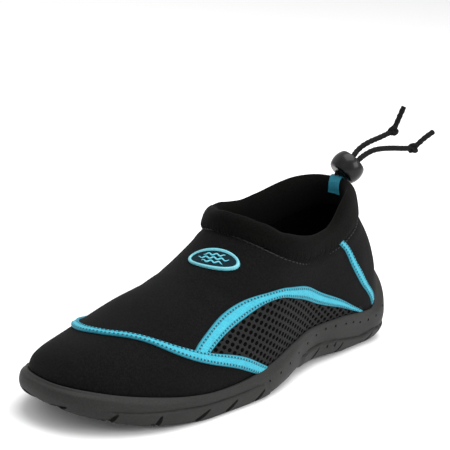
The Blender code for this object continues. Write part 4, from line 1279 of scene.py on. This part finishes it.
# ---- webbing over the collar's back -------------------------------------------
def make_heel_tape():
    n = len(seam)
    rows = [(0.46, -1.01), (0.56, -1.00), (0.68, -1.00), (0.84, -0.80), (0.95, -0.42),
            (1.00, 0.00), (0.95, 0.42), (0.84, 0.80), (0.76, 0.91)]
    line = smooth_line(rows, 70)
    tangent = np.gradient(line * np.array([28.0, COLLAR_THICK / 2]), axis=0)
    tangent = unit(tangent)
    wide = 6.4
    widths = np.linspace(-1, 1, 17)
    run = np.concatenate([[0], np.cumsum(np.linalg.norm(np.diff(seam, axis=0), axis=1))])
    total = run[-1] + np.linalg.norm(seam[0] - seam[-1])
    grid = []
    for w in widths:
        s = w * wide
        # walk that far round the loop from the back, at the top's own pace
        ring = (s if s >= 0 else total + s)
        k = np.interp(ring, np.append(run, total), np.arange(n + 1))
        i0, f = int(k) % n, k - int(k)
        i1 = (i0 + 1) % n
        pick = lambda arr: arr[i0] * (1 - f) + arr[i1] * f
        base, up, out, high = pick(seam), pick(collar_up), pick(collar_out), pick(collar_high)
        edge = 1 - abs(w) ** 8
        column = []
        for (part, side), (tu, to) in zip(line, tangent):
            stand = 0.45 + 0.75 * edge ** 0.5
            p = base + up * (-1.2 + (high + 1.2) * part) + out * (COLLAR_THICK / 2 * side)
            p = p + (up * to - out * tu) * stand
            column.append(p)
        grid.append(column)
    tape = grid_object("pull_tape", np.array(grid), pull_cyan_in_shade)
    # looks away from the band's middle
    middle = seam[0] + collar_up[0] * collar_high[0] * 0.6
    mesh = tape.data
    mesh.update()
    total_turn = sum(p.normal.dot(p.center - Vector(middle * MM)) * p.area for p in mesh.polygons)
    if total_turn < 0:
        mesh.flip_normals()
    mesh.shade_smooth()
    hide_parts("heel_tape")


make_heel_tape()


# ---- the badge: a raised ring round a dark field with plain water lines ----------
BADGE = {"along": 0.572, "x": 8.7, "long": 30.7, "wide": 14.8, "turn": 0.36}


def make_badge():
    t = np.linspace(0.25, 0.75, 200)
    spots = last_points(np.full(200, BADGE["along"]), t)
    k = int(np.argmin(np.abs(spots[:, 0] - BADGE["x"])))
    point, turn = Vector(spots[k]), t[k]
    e = 0.004
    du = Vector(last_points(BADGE["along"] + e, turn) - last_points(BADGE["along"] - e, turn))
    dv = Vector(last_points(BADGE["along"], turn + e) - last_points(BADGE["along"], turn - e))
    normal = dv.cross(du).normalized()
    if normal.z < 0:
        normal.negate()
    across = Vector((1, 0, 0)) - normal * normal.x
    across.normalize()
    up = normal.cross(across)
    c, s = math.cos(BADGE["turn"]), math.sin(BADGE["turn"])
    ax, ay = across * c + up * s, up * c - across * s

    def on(px, py, lift_by):
        start = point + ax * px + ay * py + normal * 12
        hit = upper_tree.ray_cast(start, -normal)
        base = hit[0] if hit[0] is not None else point + ax * px + ay * py
        return base + normal * lift_by

    half_l, half_w = BADGE["long"] / 2, BADGE["wide"] / 2
    rim = 1.75  # width of the ring
    # distance in from the edge, height
    profile = [(0.0, -0.3), (0.0, 0.35), (0.12, 0.85), (0.35, 1.22), (0.75, 1.40), (1.15, 1.32),
               (1.5, 1.08), (rim, 0.72), (rim + 0.25, 0.62)]
    around = 120
    verts, faces = [], []
    for inset, high in profile:
        for i in range(around):
            a = 2 * math.pi * i / around
            verts.append(on((half_l - inset) * math.cos(a), (half_w - inset) * math.sin(a), high + 0.25))
    faces = grid_faces(len(profile), around, True)
    ring = mesh_object("badge_rim", verts, faces, badge_ring)
    face_outwards(ring)
    verts, faces = [], []
    levels = [1.0, 0.86, 0.7, 0.5, 0.3, 0.12]
    for f in levels:
        for i in range(around):
            a = 2 * math.pi * i / around
            verts.append(on((half_l - rim - 0.1) * f * math.cos(a),
                            (half_w - rim - 0.1) * f * math.sin(a), 0.92))
    faces = grid_faces(len(levels), around, True)
    faces.append(tuple(range((len(levels) - 1) * around, len(levels) * around)))
    field = mesh_object("badge_field", verts, faces, badge_field)
    face_by_skin(field)
    # three plain raised water lines
    batch = Batch()
    for row, (high, reach) in enumerate(((2.6, 6.4), (0.0, 9.2), (-2.6, 6.4))):
        path = []
        for k in range(61):
            px = -reach + 2 * reach * k / 60
            py = high + 0.62 * math.sin(px * 2 * math.pi / 4.6 + row * 1.3)
            path.append(tuple(on(px, py, 1.08)))
        fat = [0.50 * min(1.0, 0.35 + 3.2 * min(k, 60 - k) / 60) for k in range(61)]
        rings = tube(path, 0, 10, tuple(normal), fat)
        batch.add(rings.reshape(-1, 3), grid_faces(61, 10, True))
    waves = batch.object("badge_water_lines", badge_wave)
    for piece in (ring, field, waves):
        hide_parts("badge")


make_badge()


# ---- the outsole ----------------------------------------------------------------
def rim_loop(count):
    a = from_arc(np.linspace(0, np.pi, count + 1))
    inner, outer = last_points(a, np.zeros(count + 1)), last_points(a, np.ones(count + 1))
    return np.vstack([inner, outer[1:-1][::-1]])


def tread_loop(part, count):
    a = from_arc(np.linspace(0, np.pi, count + 1))
    y = HEEL_END - SOLE_LENGTH * a
    waist = eased(TREAD, 5, a)
    tuck = eased(TREAD, 6, a) * (1 - math.sin(math.pi / 2 * part) ** 0.8)
    inner = np.stack([look_up(TREAD, 1, a) * SOLE_WIDTH, y,
                      np.maximum(0.0, eased(TREAD, 3, a)) + part * waist], axis=-1)
    outer = np.stack([look_up(TREAD, 2, a) * SOLE_WIDTH, y,
                      np.maximum(0.0, eased(TREAD, 4, a)) + part * waist], axis=-1)
    loop = np.vstack([inner, outer[1:-1][::-1]])
    tucks = np.concatenate([tuck, tuck[1:-1][::-1]])
    return plan_out_by(loop, -tucks)


def plan_out_by(points, distance):
    ahead, behind = np.roll(points, -1, axis=0), np.roll(points, 1, axis=0)
    t = unit((ahead - behind)[:, :2])
    moved = points.copy()
    moved[:, 0] -= t[:, 1] * distance
    moved[:, 1] += t[:, 0] * distance
    return moved


def floor_at(y):
    return eased(FLOOR, 1, np.clip(0.5 - (y + 1.0) / LENGTH, 0, 1))


def rounded_column(columns, count, sharp=()):
    """a smooth run through a stack of loops; returns count loops"""
    stack = np.array(columns)
    pts = np.concatenate([2 * stack[:1] - stack[1:2], stack, 2 * stack[-1:] - stack[-2:-1]])
    out = []
    per = max(1, count // (len(columns) - 1))
    for i in range(1, len(pts) - 2):
        p0, p1, p2, p3 = pts[i - 1:i + 3]
        for k in range(per):
            t = k / per
            out.append(0.5 * (2 * p1 + (p2 - p0) * t + (2 * p0 - 5 * p1 + 4 * p2 - p3) * t * t
                              + (3 * p1 - p0 - 3 * p2 + p3) * t ** 3))
    out.append(stack[-1])
    return out


def fill_rows(verts, faces, loop_index, points, count, columns, height):
    """close a loop with rows across, from its inner to its outer side"""
    n = len(points)
    grid = []
    for i in range(1, count):
        a, b = i, n - i
        row = [loop_index[a]]
        for c in range(1, columns):
            t = c / columns
            p = points[a] * (1 - t) + points[b] * t
            p = p.copy()
            p[2] = height(p, points[a][2], points[b][2], t)
            row.append(len(verts))
            verts.append(p)
        row.append(loop_index[b])
        grid.append(row)
    for r0, r1 in zip(grid, grid[1:]):
        for c in range(columns):
            faces.append((r0[c], r0[c + 1], r1[c + 1], r1[c]))
    for row, tip in ((grid[0], loop_index[0]), (grid[-1], loop_index[count])):
        for c in range(columns):
            faces.append((row[c], row[c + 1], tip))


# notches cut in the side wall of the inner side: bottom, then top (mm)
NOTCHES = [
    ((8.4, -136.4, 11.1), (17.6, -137.2, 15.1)),
    ((31.9, -120.7, 6.8), (36.7, -119.1, 12.7)),
    ((43.8, -97.4, 3.1), (46.9, -96.7, 9.4)),
    ((48.4, -71.8, 0.6), (51.7, -64.3, 6.6)),
    ((49.0, -48.1, 0.0), (51.7, -41.8, 6.5)),
    ((48.2, -22.6, 0.0), (51.0, -18.1, 6.5)),
]
# the heel's climbing sipes: y and z of each one's foot and top
HEEL_CUTS = [((46.5, 4.2), (53.0, 10.6)), ((56.0, 2.8), (62.3, 10.6)), ((65.0, 2.3), (70.6, 10.2)),
             ((74.5, 1.9), (78.8, 8.2)), ((109.0, 1.2), (112.5, 7.0)), ((119.0, 2.2), (121.5, 7.6))]
# small vents along the wall: y, z
VENTS = [(-12.2, 10.2), (-0.3, 11.8), (11.6, 13.8), (24.9, 15.9), (37.5, 18.0), (48.3, 20.1),
         (58.3, 21.9), (68.5, 21.4), (79.8, 20.4), (88.3, 19.6), (96.7, 17.6), (106.2, 17.1),
         (115.9, 17.7), (126.9, 21.3)]
# where the tread's own block ends on the wall, under the ball and under the heel: y, z
BALL_LEDGE = [(-125.0, 14.0), (-108.0, 12.0), (-91.0, 10.9), (-65.0, 8.9), (-42.0, 8.5), (-25.0, 9.2), (0.0, 9.4)]
HEEL_LEDGE = [(20.0, 9.0), (29.0, 10.2), (40.0, 11.5), (54.0, 12.2), (68.0, 11.6), (82.0, 9.2),
              (100.0, 6.6), (113.0, 8.8), (124.0, 8.8), (139.0, 11.0)]


def slab(cutter, a, b, wide, deep, out):
    """a thin slanted wedge from a to b that goes deep into the wall"""
    a, b, out = (np.asarray(v, float) for v in (a, b, out))
    run = unit((b - a)[None])[0]
    across = unit(np.cross(run, out)[None])[0]
    rings = []
    for p, w, d in ((a - run * 2.5, wide, deep), (a, wide, deep), ((a + b) / 2, wide * 0.85, deep * 0.9),
                    (b, wide * 0.55, deep * 0.35), (b + run * 0.9, wide * 0.25, -0.2)):
        rings.append([p + out * 3.0 - across * w * 0.75, p + out * 3.0 + across * w * 0.75,
                      p - out * d + across * w * 0.35, p - out * d - across * w * 0.35])
    made = [[cutter.verts.new([c * MM for c in p]) for p in ring] for ring in rings]
    for r0, r1 in zip(made, made[1:]):
        for i in range(4):
            cutter.faces.new((r0[i], r0[(i + 1) % 4], r1[(i + 1) % 4], r1[i]))
    cutter.faces.new(list(reversed(made[0])))
    cutter.faces.new(made[-1])


def make_outsole():
    count = 190
    n = 2 * count
    rim = rim_loop(count)
    lip = plan_out_by(rim, GAP + LIP)
    widest = tread_loop(1.0, count)
    wall = [tread_loop(part, count) for part in (0.0, 0.18, 0.5, 1.0)]
    for f, g, swell in ((0.90, 0.62, 0.5), (0.60, 0.30, 0.8)):
        ring = lip * (1 - f) + widest * f
        ring[:, 2] = lip[:, 2] + (widest[:, 2] - lip[:, 2]) * g
        out = swell * np.clip((lip[:, 2] - widest[:, 2]) / 18, 0, 1)
        wall.append(plan_out_by(ring, out))
    wall.append(lip - np.array([0, 0, 0.7]))
    loops = rounded_column(wall, 42)
    # the tread's own edge stands a little proud of the wall above it
    centre_in = [plan_out_by(lp, np.full(n, 1.0)) - lp for lp in loops]
    shaped = []
    base_z = wall[0][:, 2]
    for lp, out in zip(loops, centre_in):
        high = lp[:, 2] - base_z
        y, z = lp[:, 1], lp[:, 2]
        strong = np.clip((-7.0 - 1.3 * high - y) / 1.0, 0, 1) * np.clip((y + 130.0) / 12.0, 0, 1)
        heel = np.clip((y - 31.0) / 2.0, 0, 1)
        ledge_at = np.interp(y, *np.array(BALL_LEDGE).T)
        ledge = 0.85 / (1 + np.exp(np.clip((z - ledge_at) / 0.20, -30, 30))) - 0.55 * np.exp(-((z - ledge_at - 0.55) / 0.42) ** 2)
        heel_at = np.interp(y, *np.array(HEEL_LEDGE).T)
        ledge_h = 1.00 / (1 + np.exp(np.clip((z - heel_at) / 0.20, -30, 30))) - 0.75 * np.exp(-((z - heel_at - 0.55) / 0.45) ** 2)
        # soft moulded flats and swellings of the wall
        slow = 0.22 * np.sin(lp[:, 1] * 0.055 + 0.8) * np.sin(np.clip(high / 18, 0, 1) * np.pi)
        shaped.append(lp + out * (ledge * strong + ledge_h * heel + slow)[:, None])
    loops = shaped
    loops.append(plan_out_by(rim, np.full(n, GAP + LIP * 0.80)) - np.array([0, 0, 0.05]))
    loops.append(plan_out_by(rim, np.full(n, GAP + LIP * 0.45)) + np.array([0, 0, 0.25]))
    loops.append(plan_out_by(rim, np.full(n, GAP * 0.6)) - np.array([0, 0, 0.1]))
    base = plan_out_by(rim, np.full(n, -2.2))
    for t in (0.65, 0.3, 0.0):
        low = floor_at(base[:, 1]) + GAP
        p = base + (rim - base) * t
        p[:, 2] = low + (rim[:, 2] - low) * t
        loops.append(plan_out_by(p, np.full(n, GAP)))
    loops[-1][:, 2] = floor_at(loops[-1][:, 1])
    verts, faces, index = [], [], []
    for lp in loops:
        index.append(list(range(len(verts), len(verts) + n)))
        verts.extend(list(lp))
    for i0, i1 in zip(index, index[1:]):
        for k in range(n):
            faces.append((i0[k], i0[(k + 1) % n], i1[(k + 1) % n], i1[k]))
    fill_rows(verts, faces, index[0], loops[0], count, 8, lambda p, a, b, t: a + (b - a) * t)
    fill_rows(verts, faces, index[-1], loops[-1], count, 8, lambda p, a, b, t: float(floor_at(p[1])))
    sole = mesh_object("sole_shell", verts, faces, sole_rubber)
    face_outwards(sole)

    # cutters: tread grooves, wall notches, heel sipes, vents
    cutter = bmesh.new()
    rows = [(0.932, 0.02, 2.2, 2.2), (0.852, -0.05, 2.3, 2.1), (0.757, -0.10, 2.2, 2.0),
            (0.671, -0.14, 2.4, 2.0), (0.582, -0.18, 2.4, 2.0), (0.262, 0.14, 2.0, 2.0),
            (0.212, 0.14, 2.0, 2.0), (0.162, 0.12, 2.0, 2.0), (0.112, 0.10, 2.0, 2.0)]
    for along, slant, width, deep in rows:
        y = HEEL_END - SOLE_LENGTH * along - slant * 48
        xi = float(look_up(TREAD, 1, along)) * SOLE_WIDTH + 4
        xo = float(look_up(TREAD, 2, along)) * SOLE_WIDTH - 4
        floor = 0.5 * float(eased(TREAD, 3, along) + eased(TREAD, 4, along))
        rings = []
        for k in range(25):
            x = xo + (xi - xo) * k / 24
            yc = y + slant * x + 1.6 * math.sin(k / 24 * math.pi * 4)
            top = deep
            rings.append([(x, yc - width / 2, floor - 9), (x, yc + width / 2, floor - 9),
                          (x, yc + width * 0.35, floor + top), (x, yc - width * 0.35, floor + top)])
        made = [[cutter.verts.new([c * MM for c in p]) for p in ring] for ring in rings]
        for r0, r1 in zip(made, made[1:]):
            for i in range(4):
                cutter.faces.new((r0[i], r0[(i + 1) % 4], r1[(i + 1) % 4], r1[i]))
        cutter.faces.new(list(reversed(made[0])))
        cutter.faces.new(made[-1])
    tree = BVHTree.FromPolygons([Vector(v) for v in verts], [tuple(f) for f in faces])

    def wall_point(y, z, sign):
        """where the wall is at this y and height"""
        hit = tree.ray_cast(Vector((sign * 120.0, y, z)), Vector((-sign, 0, 0)))
        if hit[0] is None:
            return None, None
        nrm = hit[1]
        if nrm.x * sign < 0:
            nrm = -nrm
        return np.array(hit[0]), np.array(nrm)

    for a, b in NOTCHES:
        for sign in (1, -1):
            pa, na = np.array(a), None
            pb = np.array(b)
            if abs(pa[1]) > 134:      # round the toe: seen from the front
                if sign < 0:
                    pa, pb = pa * np.array([-1, 1, 1]) + np.array([2, 0, 0]), pb * np.array([-1, 1, 1]) + np.array([2, 0, 0])
                near_a, near_b = tree.find_nearest(Vector(pa)), tree.find_nearest(Vector(pb))
                pa, pb = np.array(near_a[0]), np.array(near_b[0])
                out = np.array((0.1 * sign, -1, -0.1))
            else:
                qa, na = wall_point(pa[1], max(pa[2] + 1.2, 1.6), sign)
                qb, nb = wall_point(pb[1], pb[2], sign)
                if qa is None or qb is None:
                    continue
                pa, pb = qa, qb
                out = unit((na + nb)[None])[0]
                out[2] *= 0.3
                out = unit(out[None])[0]
            slab(cutter, pa, pb, 3.1, 3.0, out)
    for (ya, za), (yb, zb) in HEEL_CUTS:
        for sign in (1, -1):
            qa, na = wall_point(ya, za, sign)
            qb, nb = wall_point(yb, zb, sign)
            if qa is None or qb is None:
                continue
            out = unit((na + nb)[None])[0]
            out[2] *= 0.3
            slab(cutter, qa, qb, 2.1, 2.8, unit(out[None])[0])
    for y, z in VENTS:
        for sign in (1, -1):
            p, nrm = wall_point(y, z, sign)
            if p is None:
                continue
            line = [tuple(p - nrm * 1.5), tuple(p + nrm * 1.2)]
            rings = tube(line, 0, 12, (0, 1, 0.1), [0.75, 0.95])
            made = [[cutter.verts.new([c * MM for c in q]) for q in ring] for ring in rings]
            for i in range(12):
                cutter.faces.new((made[0][i], made[0][(i + 1) % 12], made[1][(i + 1) % 12], made[1][i]))
            cutter.faces.new(list(reversed(made[0])))
            cutter.faces.new(made[1])
    bmesh.ops.recalc_face_normals(cutter, faces=cutter.faces)
    carve(sole, cutter, "sole_cuts")
    sole.data.set_sharp_from_angle(angle=math.radians(38))
    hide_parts("outsole")
    return sole


make_outsole()


# ---- the insole --------------------------------------------------------------------
def make_insole():
    count = 90
    rim = rim_loop(count)
    n = len(rim)
    base = plan_out_by(rim, np.full(n, -2.2 - WALL - 0.7))
    verts, faces, index = [], [], []
    loops = []
    for inset, high in ((0.0, 0.4), (0.0, 2.4), (0.5, 3.0), (1.6, 3.35)):
        lp = plan_out_by(base, np.full(n, -inset))
        lp[:, 2] = floor_at(lp[:, 1]) + GAP + high
        loops.append(lp)
        index.append(list(range(len(verts), len(verts) + n)))
        verts.extend(list(lp))
    for i0, i1 in zip(index, index[1:]):
        for k in range(n):
            faces.append((i0[k], i0[(k + 1) % n], i1[(k + 1) % n], i1[k]))

    def dished(p, a, b, t):
        return float(floor_at(p[1])) + GAP + 3.35 - 0.35 * math.sin(math.pi * t)

    fill_rows(verts, faces, index[-1], loops[-1], count, 12, dished)
    sole = mesh_object("footbed", verts, faces, insole_knit)
    face_outwards(sole)
    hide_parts("insole")


make_insole()


# ---- floor, light ---------------------------------------------------------------------
def make_stage():
    bm = bmesh.new()
    bmesh.ops.create_grid(bm, x_segments=1, y_segments=1, size=6.0)
    mesh = bpy.data.meshes.new("floor")
    bm.to_mesh(mesh)
    bm.free()
    floor = bpy.data.objects.new("floor", mesh)
    bpy.context.scene.collection.objects.link(floor)
    floor.location = (0, 0, -0.0002)
    mat, tree, bsdf = shader("floor_white", (0.92, 0.92, 0.92), 0.9, spec=0.1)
    space = object_space(tree)
    soft = noise_of(tree, space, 3.0, 2, 0.5)
    tree.links.new(mixed(tree, "MIX", soft, (0.915, 0.915, 0.915), (0.93, 0.93, 0.93)), bsdf.inputs["Base Color"])
    mesh.materials.append(mat)

    world = bpy.data.worlds.new("studio")
    bpy.context.scene.world = world
    world.use_nodes = True
    world.node_tree.nodes["Background"].inputs["Color"].default_value = (1, 1, 1, 1)
    world.node_tree.nodes["Background"].inputs["Strength"].default_value = 0.86

    def area(name, spot, aim, size, power):
        light = bpy.data.lights.new(name, "AREA")
        light.shape = "RECTANGLE"
        light.size, light.size_y = size
        light.energy = power
        obj = bpy.data.objects.new(name, light)
        bpy.context.scene.collection.objects.link(obj)
        obj.location = spot
        obj.rotation_euler = (Vector(aim) - Vector(spot)).to_track_quat("-Z", "Y").to_euler()

    area("top", (0.10, 0.15, 1.6), (0, 0, 0.05), (1.5, 1.3), 22)
    area("right", (1.30, 0.35, 0.75), (0, 0.02, 0.05), (0.8, 0.8), 11)
    area("left", (-1.2, -0.3, 0.8), (0, 0, 0.05), (0.6, 0.8), 0.7)
    area("front", (0.3, -1.3, 0.9), (0, 0, 0.05), (0.8, 0.6), 0.45)
    bpy.context.scene.view_settings.view_transform = "Standard"
    bpy.context.scene.view_settings.look = "None"


make_stage()
